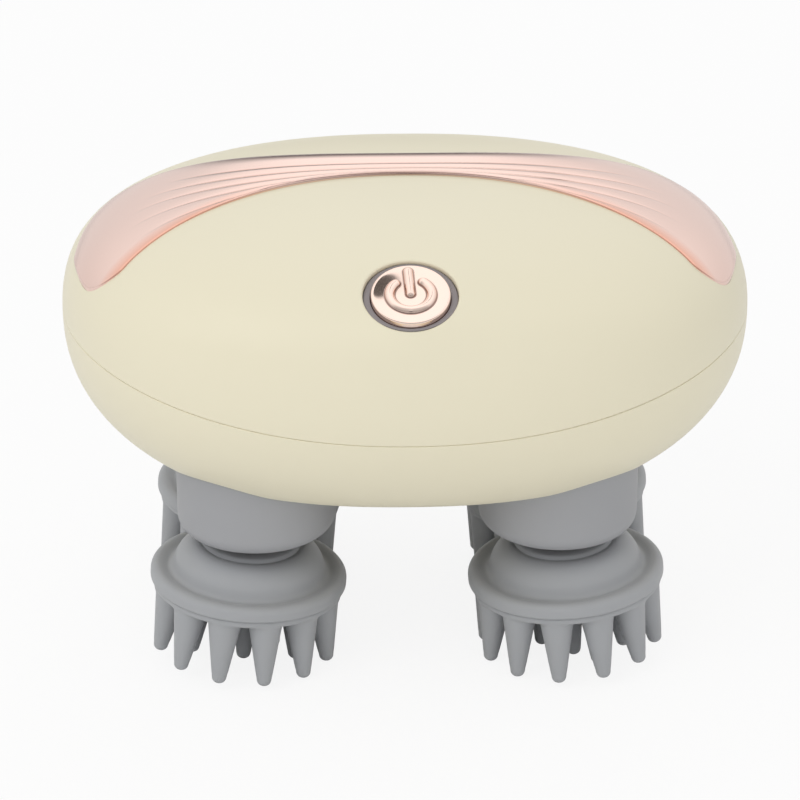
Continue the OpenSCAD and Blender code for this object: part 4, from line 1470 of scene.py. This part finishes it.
@dataclass
class PortPlug:
    """Soft stopper, flush with the back of the shell, with a nail notch on top."""

    half_w: float = 6.45
    half_h: float = 3.45
    corner: float = 1.4
    notch: float = 0.45
    prong: tuple[float, float, float] = (3.9, 1.05, 1.9)

    def build(self, opening: PortOpening, material: bpy.types.Material) -> bpy.types.Object:
        """Builds the stopper.

        Args:
            opening: The opening that it fills.
            material: Finish of the stopper.

        Returns:
            The object.
        """
        shrink = [1.0, 0.995, 0.985, 0.97, 0.95] + list(np.linspace(0.9, 0.04, 16))
        back_y = opening.floor_y + 0.12
        loops = []
        outline = opening.outline(self.half_w, self.half_h, self.corner)
        centre = np.array([opening.x, opening.y])
        for f in (0.04, 0.55):
            p = centre + (outline - centre) * f
            loops.append(np.stack([p[:, 0], np.full(len(p), back_y), p[:, 1]], 1))
        loops.append(np.stack([outline[:, 0], np.full(len(outline), back_y), outline[:, 1]], 1))
        for k, f in enumerate(shrink):
            p = centre + (outline - centre) * f
            down = BODY.from_height(p[:, 1] - BODY.widest_z)
            share = np.interp(down, BODY.length, BODY.share)
            across = np.abs(p[:, 0] / BODY.half_w)
            y = BODY.half_d * (share ** BODY.plan_power - across ** BODY.plan_power) ** (1 / BODY.plan_power)
            rounding = 0.25 * (1 - math.sqrt(1 - (1 - min(k, 4) / 4) ** 2))
            dent = np.clip(1 - (p[:, 0] / 2.6) ** 2 - ((p[:, 1] - centre[1] - self.half_h) / 1.3) ** 2, 0, 1)
            loops.append(np.stack([p[:, 0], y - 0.06 - rounding - self.notch * dent ** 0.5, p[:, 1]], 1))
        n = len(outline)
        points = np.concatenate(loops)
        faces: Faces = []
        for j in range(len(loops) - 1):
            faces += strip(list(range(j * n, (j + 1) * n)), list(range((j + 1) * n, (j + 2) * n)))
        faces.append(tuple(range(n)))
        faces.append(tuple(range((len(loops) - 1) * n, len(loops) * n)))
        a, b, c = self.prong
        box = rounded([(-a, -b, 0.5), (a, -b, 0.5), (a, b, 0.5), (-a, b, 0.5)])
        start = len(points)
        ends = [back_y + 0.1, back_y - c + 0.3, back_y - c]
        prong = [np.array([[x * f + opening.x, y, z * f + opening.y] for x, z in box])
                 for y, f in zip(ends, (1.0, 1.0, 0.85))]
        m = len(box)
        points = np.concatenate([points] + prong)
        for j in range(2):
            faces += strip(list(range(start + j * m, start + (j + 1) * m)),
                           list(range(start + (j + 1) * m, start + (j + 2) * m)))
        faces.append(tuple(range(start, start + m)))
        faces.append(tuple(range(start + 2 * m, start + 3 * m)))
        obj = make_object("port_stopper", points, faces, material)
        finish_mesh(obj)
        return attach(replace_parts(obj, "port_plug"), "plug")


# ---- Heads --------------------------------------------------------------------------


class Side(Enum):
    """The four heads: left or right, front or rear."""

    FL = (-1, -1)
    FR = (1, -1)
    RL = (-1, 1)
    RR = (1, 1)

    def tag(self) -> str:
        """Ending that this head's nodes have.

        Returns:
            The ending.
        """
        return self.name.lower()


@dataclass
class Head:
    """A kneading head, with its fixed collar over it."""

    tilt: float = 4.3
    pivot_h: float = 24.5
    rim_r: float = 19.6
    rim_half: float = 1.5
    rim_corner: float = 0.55
    bell_r: float = 15.2
    shoulder_r: float = 10.2
    shoulder_h: float = 6.8
    dome_power: float = 1.8
    lip_rise: float = 0.9
    neck_r: float = 7.1
    wall: float = 1.6
    collar_r: float = 15.75
    collar_wall: float = 1.8
    collar_gap: float = 10.6
    collar_edge: float = 3.4
    collar_play: float = 0.25
    shaft_hole: float = 6.8
    tip_r: float = 1.3
    finger_reach: float = 16.6
    root_r: float = 3.3
    tip_ring: float = 17.2
    root_ring: float = 15.3
    pad_t: float = 1.6
    left_turn: float = -1.1
    right_turn: float = 4.1
    voxel: float = 0.3
    spare: float = 0.2

    def axis(self, side: Side) -> tuple[float, float]:
        """Where a head's upright axis stands in the plan: the middle of its collar.

        Args:
            side: Which head.

        Returns:
            The place across and the place from front to back, in millimetres.
        """
        low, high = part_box(f"collar_{side.tag()}")
        return (low.x + high.x) / 2 / MM, (low.y + high.y) / 2 / MM

    def matrix(self, side: Side) -> Matrix:
        """Placement of a head's own frame: the middle of its rim, with +Z up its crank pin.

        Args:
            side: Which head.

        Returns:
            The placement in millimetres.
        """
        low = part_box(f"collar_{side.tag()}")[0]
        pivot_z = low.z / MM - self.collar_gap + self.pivot_h * math.cos(math.radians(self.tilt))
        lean = Matrix.Rotation(-side.value[0] * math.radians(self.tilt), 4, "Y")
        pivot = Matrix.Translation((*self.axis(side), pivot_z))
        return pivot @ lean @ Matrix.Translation((0, 0, -self.pivot_h))

    def outward(self, side: Side) -> Matrix:
        """Turn of the finger pattern about the head's axis.

        Args:
            side: Which head.

        Returns:
            The rotation.
        """
        turn = 180 + self.left_turn if side.value[0] < 0 else self.right_turn
        return Matrix.Rotation(math.radians(turn), 4, "Z")

    def bell_profile(self) -> list[tuple[float, float]]:
        """Closed outline of the bell: rolled rim, channel, round dome and a small step at the top.

        Returns:
            Radius and height of each point.
        """
        roll = self.rim_r - self.rim_half
        foot = self.rim_half - 0.25
        floor = self.rim_half - 0.5
        corner = self.rim_corner
        points = [(self.bell_r - self.wall, -self.rim_half), (roll, -self.rim_half)]
        points += [(self.rim_r - corner + corner * math.cos(a), corner - self.rim_half + corner * math.sin(a))
                   for a in np.radians(np.linspace(-88, 0, 7))]
        points += [(roll + self.rim_half * math.cos(a), self.rim_half * math.sin(a))
                   for a in np.radians(np.linspace(0, 98, 14))]
        points += [(self.bell_r + out, floor + up) for out, up in
                   ((2.25, 0.42), (1.85, 0.28), (1.5, 0.14), (1.15, 0.03), (0.85, 0.0), (0.58, 0.06),
                    (0.34, 0.22), (0.14, 0.48), (-0.02, 0.8), (-0.14, 1.15), (-0.24, 1.52))]
        for a in np.radians(np.linspace(20, 82, 18)):
            across = math.cos(a) ** (2 / self.dome_power)
            up = math.sin(a) ** (2 / self.dome_power)
            points.append((self.shoulder_r + (self.bell_r - self.shoulder_r) * across,
                           foot + (self.shoulder_h - foot) * up))
        lip = self.shoulder_h + self.lip_rise
        points += [(self.shoulder_r - 0.05, self.shoulder_h), (self.shoulder_r - 0.2, self.shoulder_h - 0.08),
                   (self.shoulder_r - 0.36, self.shoulder_h - 0.02), (self.shoulder_r - 0.6, lip - 0.5),
                   (self.shoulder_r - 1.2, lip - 0.2), (self.neck_r + 0.7, lip - 0.03),
                   (self.neck_r + 0.3, lip), (self.neck_r + 0.06, lip - 0.08),
                   (self.neck_r, lip - 0.25), (self.neck_r, self.shoulder_h - self.wall),
                   (self.shoulder_r - self.wall + 0.1, self.shoulder_h - self.wall),
                   (self.bell_r - self.wall, 1.7)]
        return points

    def collar_profile(self, low: float, high: float) -> list[tuple[float, float]]:
        """Closed outline of the collar: a cup, open below, with a round lower edge.

        Args:
            low: Height of its lower edge.
            high: Height of its top.

        Returns:
            Radius and height of each point.
        """
        r, wall, edge = self.collar_r, self.collar_wall, self.collar_edge
        mouth, hole = r - edge - 0.4, self.shaft_hole
        return rounded([
            (mouth, low, 0.5), (r, low, edge), (r, high, 0.3), (hole, high, 0.2), (hole, high - 2, 0.2),
            (r - wall - 0.6, high - 2, 1.2), (r - wall - 0.6, low + 5, 1.0), (mouth, low + 2.2, 0.6)], 10)

    def hub_profile(self) -> list[tuple[float, float]]:
        """Open outline of the hard core: a disc under the bell and a neck up to the knuckle.

        Returns:
            Radius and height of each point.
        """
        inner = self.bell_r - self.wall - 0.1
        neck = self.neck_r - 0.1
        top = self.pivot_h - 5.4
        step = self.shoulder_h - self.wall - 0.1
        corners = [(0, -self.rim_half, 0), (inner, -self.rim_half, 0), (inner, 1.6, 0),
                   (self.shoulder_r - self.wall, step, 0), (neck, step, 0.1), (neck, top - 0.2, 1.2),
                   (2.7, top, 0.2), (2.7, top - 3, 0), (0, top - 3, 0)]
        return rounded(corners, 5, closed=False)

    def finger_profile(self, root: float, length: float) -> list[tuple[float, float]]:
        """Open outline of a finger that hangs from its root: a flare, a cone and a round tip.

        Args:
            root: Radius at the root.
            length: Length from the root to the middle of the tip.

        Returns:
            Radius and height of each point, from the tip up.
        """
        lean = math.atan((root - self.tip_r) / length)
        tip = [((self.tip_r + self.spare) * math.sin(a), -length - self.tip_r * math.cos(a))
               for a in np.linspace(0, math.pi / 2 + lean, 9)]
        cone = [(self.spare + self.tip_r + (root - self.tip_r) * f, -length * (1 - f))
                for f in np.linspace(0.1, 0.92, 12)]
        foot = root + self.spare
        return tip + cone + [(foot + 0.15, -0.5), (foot + 0.5, 0.4), (0, 0.4)]


RING_INPUTS = {"Count": "NodeSocketInt", "First Angle": "NodeSocketFloat", "Root Circle": "NodeSocketFloat",
               "Tip Circle": "NodeSocketFloat", "Fall": "NodeSocketFloat"}


def ring_tree() -> bpy.types.NodeTree:
    """Geometry Nodes group that hangs one ring of fingers under a pad.

    Returns:
        The node tree.
    """
    wires, given, result = new_group(
        "FingerRing", "GeometryNodeTree",
        [Socket("Finger", "NodeSocketGeometry"), Socket("Root Height", "NodeSocketFloat")]
        + [Socket(name, kind) for name, kind in RING_INPUTS.items()],
        [Socket("Geometry", "NodeSocketGeometry")])
    count, circle = given.outputs["Count"], given.outputs["Root Circle"]
    index = wires.add("GeometryNodeInputIndex")
    step = wires.calc("DIVIDE", 2 * math.pi, count)
    angle = wires.calc("ADD", wires.calc("MULTIPLY", index.outputs[0], step), given.outputs["First Angle"])
    place = wires.add("ShaderNodeCombineXYZ", {
        "X": wires.calc("MULTIPLY", circle, wires.calc("COSINE", angle)),
        "Y": wires.calc("MULTIPLY", circle, wires.calc("SINE", angle)),
        "Z": given.outputs["Root Height"]})
    points = wires.add("GeometryNodePoints", {"Count": count, "Position": place.outputs[0]})
    run = wires.calc("SUBTRACT", given.outputs["Tip Circle"], circle)
    lean = wires.calc("MULTIPLY", wires.calc("ARCTAN2", run, given.outputs["Fall"]), -1.0)
    turn = wires.add("ShaderNodeCombineXYZ", {"Y": lean, "Z": angle})
    rotation = wires.add("FunctionNodeEulerToRotation", {0: turn.outputs[0]})
    put = wires.add("GeometryNodeInstanceOnPoints", {
        "Points": points.outputs[0], "Instance": given.outputs["Finger"],
        "Rotation": rotation.outputs[0]})
    wires.feed(result, {0: put.outputs[0]})
    return wires.tree


def end_tree(wires: Wiring, given: bpy.types.Node, result: bpy.types.Node,
             made: bpy.types.NodeSocket) -> bpy.types.NodeTree:
    """Ends a Geometry Nodes group: its instances become real and take its material.

    Args:
        wires: Wiring of the group's tree.
        given: The group's input node.
        result: The group's output node.
        made: What the group has made.

    Returns:
        The node tree.
    """
    real = wires.add("GeometryNodeRealizeInstances", {0: made})
    paint = wires.add("GeometryNodeSetMaterial", {
        "Geometry": real.outputs[0], "Material": given.outputs["Material"]})
    wires.feed(result, {0: paint.outputs[0]})
    return wires.tree


def pad_tree(rings: int, ring_group: bpy.types.NodeTree) -> bpy.types.NodeTree:
    """Geometry Nodes group that joins a pad and its rings of fingers.

    Args:
        rings: Number of rings.
        ring_group: Group that makes one ring.

    Returns:
        The node tree.
    """
    inputs = [Socket("Geometry", "NodeSocketGeometry"), Socket("Material", "NodeSocketMaterial"),
              Socket("Root Height", "NodeSocketFloat")]
    for k in range(rings):
        inputs += [Socket(f"Finger {k}", "NodeSocketObject")]
        inputs += [Socket(f"{name} {k}", kind) for name, kind in RING_INPUTS.items()]
    wires, given, result = new_group("FingerPad", "GeometryNodeTree", inputs,
                                     [Socket("Geometry", "NodeSocketGeometry")])
    join = wires.add("GeometryNodeJoinGeometry")
    for k in range(rings):
        info = wires.add("GeometryNodeObjectInfo", {0: given.outputs[f"Finger {k}"]})
        ring = wires.add("GeometryNodeGroup", {
            "Finger": info.outputs["Geometry"], "Root Height": given.outputs["Root Height"],
            **{name: given.outputs[f"{name} {k}"] for name in RING_INPUTS}}, node_tree=ring_group)
        wires.feed(join, {0: ring.outputs[0]})
    wires.feed(join, {0: given.outputs["Geometry"]})
    return end_tree(wires, given, result, join.outputs[0])


def set_inputs(modifier: bpy.types.NodesModifier, values: dict[str, object]) -> None:
    """Sets a Geometry Nodes modifier's inputs by their sockets' identifiers.

    Args:
        modifier: The modifier.
        values: Value of each named input.
    """
    for item in modifier.node_group.interface.items_tree:
        if item.item_type == "SOCKET" and item.in_out == "INPUT" and item.name in values:
            modifier[item.identifier] = values[item.name]


@dataclass
class HeadSet:
    """The four heads and collars, each built once and placed four times."""

    head: Head = field(default_factory=Head)
    counts: tuple[int, int, int] = (12, 8, 4)
    tip_shares: tuple[float, float, float] = (1.0, 0.65, 0.33)
    root_shares: tuple[float, float, float] = (1.0, 0.63, 0.305)
    root_cuts: tuple[float, float, float] = (0.0, 0.6, 0.7)
    first_angles: tuple[float, float, float] = (15.0, 22.5, 0.0)

    def pad(self, material: bpy.types.Material) -> tuple[Points, Faces]:
        """One finger pad in its own frame, with the fingers' roots blended into the disc.

        Args:
            material: Finish of the pad.

        Returns:
            Points and faces.
        """
        h = self.head
        face = -h.rim_half - h.pad_t
        edge, top = h.rim_r - 0.6, -h.rim_half
        disc = rounded([(0, face, 0), (edge, face, 0.7), (edge, top, 0.15), (0, top, 0)], 5, closed=False)
        points, faces = turned(disc, False, 96)
        carrier = make_object("pad_carrier", points, faces, material)
        face_outwards(carrier)
        modifier = carrier.modifiers.new("fingers", "NODES")
        modifier.node_group = pad_tree(len(self.counts), ring_tree())
        root_height = face + 0.1
        values: dict[str, object] = {"Material": material, "Root Height": root_height * MM}
        fingers = []
        for k, count in enumerate(self.counts):
            root = h.root_ring * self.root_shares[k]
            tip = h.tip_ring * self.tip_shares[k]
            fall = h.finger_reach - h.tip_r + root_height
            length = math.hypot(fall, tip - root)
            points, faces = turned(h.finger_profile(h.root_r - self.root_cuts[k], length), False, 32)
            finger = make_object(f"finger_{k}", points, faces, material)
            face_outwards(finger)
            fingers.append(finger)
            values |= {f"Finger {k}": finger, f"Count {k}": count,
                       f"First Angle {k}": math.radians(self.first_angles[k]),
                       f"Root Circle {k}": root * MM, f"Tip Circle {k}": tip * MM, f"Fall {k}": fall * MM}
        set_inputs(modifier, values)
        blend = carrier.modifiers.new("one_skin", "REMESH")
        blend.mode = "VOXEL"
        blend.voxel_size = h.voxel * MM
        blend.use_smooth_shade = True
        soften = carrier.modifiers.new("soften", "SMOOTH")
        soften.factor = 0.5
        soften.iterations = 6
        settle(carrier)
        co = np.empty(len(carrier.data.vertices) * 3, np.float32)
        carrier.data.vertices.foreach_get("co", co)
        made = [tuple(p.vertices) for p in carrier.data.polygons]
        for obj in [carrier] + fingers:
            bpy.data.objects.remove(obj)
        return co.reshape(-1, 3) / MM, made

    def build(self) -> list[bpy.types.Object]:
        """Builds every collar, bell, hub and pad.

        Returns:
            The objects.
        """
        h = self.head
        soft = FINISHES["silicone_grey"].build()
        pad = self.pad(soft)
        bell = turned(h.bell_profile(), True)
        hub = turned(h.hub_profile(), False, 96)
        made = []
        for side in Side:
            tag, place = side.tag(), h.matrix(side)
            low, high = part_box(f"collar_{tag}")
            axis = Matrix.Translation((*h.axis(side), 0))
            collar = turned(h.collar_profile(low.z / MM, high.z / MM), True)
            for name, node, (points, faces), where, body in (
                    ("collar_cup", "collar", collar, axis, "housing"),
                    ("soft_bell", "head_bell", bell, place, f"head_{tag}"),
                    ("hub_core", "head_hub", hub, place, f"head_{tag}"),
                    ("finger_brush", "finger_pad", pad, place @ h.outward(side), f"head_{tag}")):
                finish = {"collar": "collar_grey", "head_hub": "dark_plastic"}.get(node, "silicone_grey")
                obj = make_object(f"{name}_{tag}", moved(points, where), faces, FINISHES[finish].build())
                if node != "finger_pad":
                    finish_mesh(obj)
                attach(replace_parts(obj, f"{node}_{tag}"), body)
                made.append(obj)
        return made


# ---- Screws -------------------------------------------------------------------------


def screw_tree() -> bpy.types.NodeTree:
    """Geometry Nodes group that sets a screw with a cross recess on each point.

    Returns:
        The node tree.
    """
    wires, given, result = new_group(
        "CrossScrews", "GeometryNodeTree",
        [Socket("Geometry", "NodeSocketGeometry"), Socket("Material", "NodeSocketMaterial"),
         Socket("Screw", "NodeSocketObject"), Socket("Slot Length", "NodeSocketFloat", 0.003),
         Socket("Slot Width", "NodeSocketFloat", 0.0006), Socket("Slot Depth", "NodeSocketFloat", 0.0008)],
        [Socket("Geometry", "NodeSocketGeometry")])
    info = wires.add("GeometryNodeObjectInfo", {0: given.outputs["Screw"]})
    cut = wires.add("GeometryNodeMeshBoolean", {"Mesh 1": info.outputs["Geometry"]}, operation="DIFFERENCE")
    for order in ("XY", "YX"):
        size = wires.add("ShaderNodeCombineXYZ", {
            order[0]: given.outputs["Slot Length"], order[1]: given.outputs["Slot Width"],
            "Z": given.outputs["Slot Depth"]})
        cube = wires.add("GeometryNodeMeshCube", {"Size": size.outputs[0]})
        wires.feed(cut, {"Mesh 2": cube.outputs["Mesh"]})
    put = wires.add("GeometryNodeInstanceOnPoints", {
        "Points": given.outputs["Geometry"], "Instance": cut.outputs["Mesh"]})
    return end_tree(wires, given, result, put.outputs[0])


@dataclass
class CaseScrews:
    """The four screws that close the case, deep in their wells under the body."""

    radius: float = 1.18
    head_r: float = 2.4
    head_h: float = 1.5
    well_r: float = 2.7
    slot: tuple[float, float, float] = (2.8, 0.6, 1.5)

    def seats(self) -> tuple[Points, float]:
        """Where the screws sit, from the frame.

        Returns:
            The lowest point of each screw's axis, and the length of a screw.
        """
        low, high = (np.array(corner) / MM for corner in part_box("case_screws"))
        middle, half = (low + high) / 2, (high - low) / 2 - self.head_r
        seats = [[middle[0] + sx * half[0], middle[1] + sy * half[1], low[2]]
                 for sx in (-1, 1) for sy in (-1, 1)]
        return np.array(seats), high[2] - low[2]

    def build(self, material: bpy.types.Material) -> bpy.types.Object:
        """Builds the screws, heads down.

        Args:
            material: Finish of the screws.

        Returns:
            The object.
        """
        seats, length = self.seats()
        profile = rounded([(0, 0, 0), (self.head_r, 0, 0.7), (self.head_r, self.head_h, 0.15),
                           (self.radius, self.head_h, 0.2), (self.radius, length - 1, 0.1), (0, length, 0)],
                          5, closed=False)
        points, faces = turned(profile, False, 48)
        screw = make_object("screw_pattern", points, faces, material)
        face_outwards(screw)
        obj = make_object("case_screw_set", seats, [], material)
        modifier = obj.modifiers.new("screws", "NODES")
        modifier.node_group = screw_tree()
        long, wide, deep = self.slot
        set_inputs(modifier, {"Material": material, "Screw": screw, "Slot Length": long * MM,
                              "Slot Width": wide * MM, "Slot Depth": deep * MM})
        settle(obj)
        bpy.data.objects.remove(screw)
        weigh_normals(obj)
        settle(obj)
        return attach(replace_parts(obj, "case_screws"), "housing")


# ---- Studio -------------------------------------------------------------------------


@dataclass(frozen=True)
class Ramp:
    """Smooth change of a strength, from first to last, while a coordinate goes from low to high."""

    low: float
    high: float
    first: float
    last: float


@dataclass(frozen=True)
class Lamp:
    """A soft square lamp that faces the object, with lengths in metres and its power in watts."""

    name: str
    place: tuple[float, float, float]
    power: float
    size: float = 0.9


@dataclass
class Studio:
    """Plain floor, soft light and the camera of the photograph.

    The polished pieces reflect a world of their own, fixed in direction: its strength changes
    with height, it is darker low at the back, and it holds one small dark spot.
    """

    elevation: float = 24.5
    yaw: float = -1.4
    distance: float = 730.0
    focal_px: float = 3610.0
    frame_px: float = 800.0
    sensor: float = 36.0
    aim_x: float = -0.96
    aim_below_widest: float = 22.8
    sky: float = 0.66
    floor_glow: float = 0.88
    floor_half: float = 3000.0
    sides: Ramp = Ramp(0.03, 0.17, 0.0, 1.0)
    tent_back: Ramp = Ramp(0.05, 0.42, 0.12, 1.16)
    tent_sides: Ramp = Ramp(0.1, 1.0, 0.8, 1.15)
    tent_front: Ramp = Ramp(-0.6, -0.15, 0.6, 1.0)
    spot_way: tuple[float, float, float] = (0.118, 0.28, 0.953)
    spot: Ramp = Ramp(0.9972, 0.9986, 1.0, 0.1)
    lamps: tuple[Lamp, ...] = (
        Lamp("key_lamp", (-0.7, -0.7, 1.1), 4.8),
        Lamp("fill_lamp", (0.45, -1.1, 0.3), 1.3),
        Lamp("back_lamp", (0.1, 0.9, 0.9), 1.6))

    def camera(self) -> bpy.types.Object:
        """Creates the camera.

        Returns:
            The camera object.
        """
        e, yaw = math.radians(self.elevation), math.radians(self.yaw)
        ahead = Vector((-math.sin(yaw) * math.cos(e), math.cos(yaw) * math.cos(e), -math.sin(e)))
        aim = Vector((self.aim_x, 0, BODY.widest_z - self.aim_below_widest))
        data = bpy.data.cameras.new("photo_camera")
        data.sensor_width = self.sensor
        data.lens = self.focal_px / self.frame_px * self.sensor
        data.clip_start, data.clip_end = 0.01, 20
        obj = bpy.data.objects.new("photo_camera", data)
        bpy.context.scene.collection.objects.link(obj)
        obj.location = (aim - ahead * self.distance) * MM
        obj.rotation_mode = "QUATERNION"
        obj.rotation_quaternion = ahead.to_track_quat("-Z", "Y")
        bpy.context.scene.camera = obj
        return obj

    def world(self) -> None:
        """Pale world that shows as white, lights plainly, and gives the metal its reflections."""
        world = bpy.data.worlds.new("studio_world")
        world.use_nodes = True
        bpy.context.scene.world = world
        wires = Wiring(world.node_tree)
        nodes = world.node_tree.nodes
        white = (1, 1, 1, 1)
        way = wires.add("ShaderNodeTexCoord").outputs["Generated"]
        parts = wires.add("ShaderNodeSeparateXYZ", {0: way}).outputs

        def ramp(source: bpy.types.NodeSocket, rise: Ramp) -> bpy.types.NodeSocket:
            """Strength that a ramp gives for a coordinate.

            Args:
                source: Socket that gives the coordinate.
                rise: The ramp.

            Returns:
                Socket that gives the strength.
            """
            return wires.add("ShaderNodeMapRange", {
                "Value": source, "From Min": rise.low, "From Max": rise.high,
                "To Min": rise.first, "To Max": rise.last},
                interpolation_type="SMOOTHSTEP").outputs["Result"]

        blend = wires.add("ShaderNodeMix", {
            "Factor": ramp(wires.calc("ABSOLUTE", parts["X"]), self.sides),
            "A": ramp(parts["Z"], self.tent_back), "B": ramp(parts["Z"], self.tent_sides)})
        toward = wires.add("ShaderNodeVectorMath", {0: way, 1: self.spot_way}, operation="DOT_PRODUCT")
        level = wires.calc("MULTIPLY", blend.outputs["Result"], ramp(parts["Y"], self.tent_front))
        level = wires.calc("MULTIPLY", level, ramp(toward.outputs["Value"], self.spot))
        sky = wires.feed(nodes["Background"], {"Color": white, "Strength": self.sky})
        tent = wires.add("ShaderNodeBackground", {"Color": white, "Strength": level})
        seen = wires.add("ShaderNodeBackground", {"Color": white, "Strength": 1.0})
        path = wires.add("ShaderNodeLightPath").outputs
        shown = wires.calc("MAXIMUM", path["Is Camera Ray"], path["Is Transmission Ray"])
        before = sky.outputs[0]
        for share, shader in ((path["Is Glossy Ray"], tent), (shown, seen)):
            before = wires.add("ShaderNodeMixShader", {
                "Fac": share, 1: before, 2: shader.outputs[0]}).outputs[0]
        wires.feed(nodes["World Output"], {"Surface": before})

    def floor(self) -> bpy.types.Object:
        """Pale floor that keeps the object's shadow.

        Returns:
            The floor object.
        """
        material = bpy.data.materials.new("studio_floor")
        material.use_nodes = True
        wires = Wiring(material.node_tree)
        nodes = material.node_tree.nodes
        shader = wires.feed(nodes["Principled BSDF"], {
            "Base Color": (0.93, 0.93, 0.93, 1), "Roughness": 0.9, "Specular IOR Level": 0.0})
        glow = wires.add("ShaderNodeEmission", {"Strength": 1.0})
        path = wires.add("ShaderNodeLightPath")
        share = wires.calc("MULTIPLY", path.outputs["Is Camera Ray"], self.floor_glow)
        mix = wires.add("ShaderNodeMixShader", {
            "Fac": share, 1: shader.outputs[0], 2: glow.outputs[0]})
        wires.feed(nodes["Material Output"], {"Surface": mix.outputs[0]})
        size = self.floor_half
        corners = np.array([[-size, -size, 0], [size, -size, 0], [size, size, 0], [-size, size, 0]])
        obj = make_object("floor", corners, [(0, 1, 2, 3)], material)
        return obj

    def hang(self, lamp: Lamp) -> None:
        """Hangs a lamp, turned to the object.

        Args:
            lamp: The lamp.
        """
        data = bpy.data.lights.new(lamp.name, "AREA")
        data.shape = "SQUARE"
        data.size = lamp.size
        data.energy = lamp.power
        obj = bpy.data.objects.new(lamp.name, data)
        obj.visible_glossy = False
        obj.location = lamp.place
        obj.rotation_mode = "QUATERNION"
        obj.rotation_quaternion = (Vector((0, 0, 0.06)) - Vector(lamp.place)).to_track_quat("-Z", "Y")
        bpy.context.scene.collection.objects.link(obj)

    def build(self) -> None:
        """Builds the whole studio."""
        self.camera()
        self.world()
        self.floor()
        for lamp in self.lamps:
            self.hang(lamp)
        bpy.context.scene.view_settings.view_transform = "Standard"


# ---- The whole object ---------------------------------------------------------------


def dress_frame_nodes() -> None:
    """Gives every carried-over CAD node the finish of its material slot."""
    slots = {part["node"]: part["material_slot"] for part in frame["record"]["subparts"]}
    for name, node in frame["nodes"].items():
        material = FINISHES[slots[name]].build()
        node.data.materials.clear()
        node.data.materials.append(material)


def main() -> None:
    """Builds the massager and its studio."""
    logging.basicConfig(level=logging.INFO, format="%(message)s")
    mottle_group()
    grain_group()
    Studio().build()
    dress_frame_nodes()
    cream = FINISHES["shell_cream"].build()
    rose = FINISHES["rose_gold"].build()
    head, screws = Head(), CaseScrews()
    holes = [Opening(*head.axis(side), head.collar_r + head.collar_play) for side in Side]
    holes += [Opening(x, y, screws.well_r, lip=0.25, corners=64, depth=z + screws.head_h,
                      rings=(0, 0.03, 0.08, 0.15, 0.25, 0.45, 0.8)) for x, y, z in screws.seats()[0]]
    socket_low, socket_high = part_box("charge_socket")
    port = PortOpening(0.0, (socket_low.z + socket_high.z) / 2 / MM, 0.0, lip=0.25, corners=96,
                       rings=(0, 0.03, 0.08, 0.15, 0.25, 0.45, 0.9))
    button_hole = ButtonOpening(0.0, 0.0, BUTTON.radius + BUTTON.ring, lip=0.5, corners=160,
                                rings=(0, 0.04, 0.1, 0.18, 0.35, 0.6, 1.0, 1.6))
    pieces = [Shell("casing_upper", "upper_shell", True, [button_hole, port]).build(cream),
              Shell("casing_lower", "lower_shell", False, holes).build(cream),
              TrimBand().build(rose)]
    pieces += PowerButton().build(FINISHES["rose_gold_cap"].build(), FINISHES["bezel_grey"].build())
    pieces.append(PortPlug().build(port, cream))
    pieces += HeadSet().build()
    pieces.append(screws.build(FINISHES["steel"].build()))
    for piece in pieces:
        LOG.info("%s: %d faces", piece.name, len(piece.data.polygons))


if __name__ == "__main__":
    main()
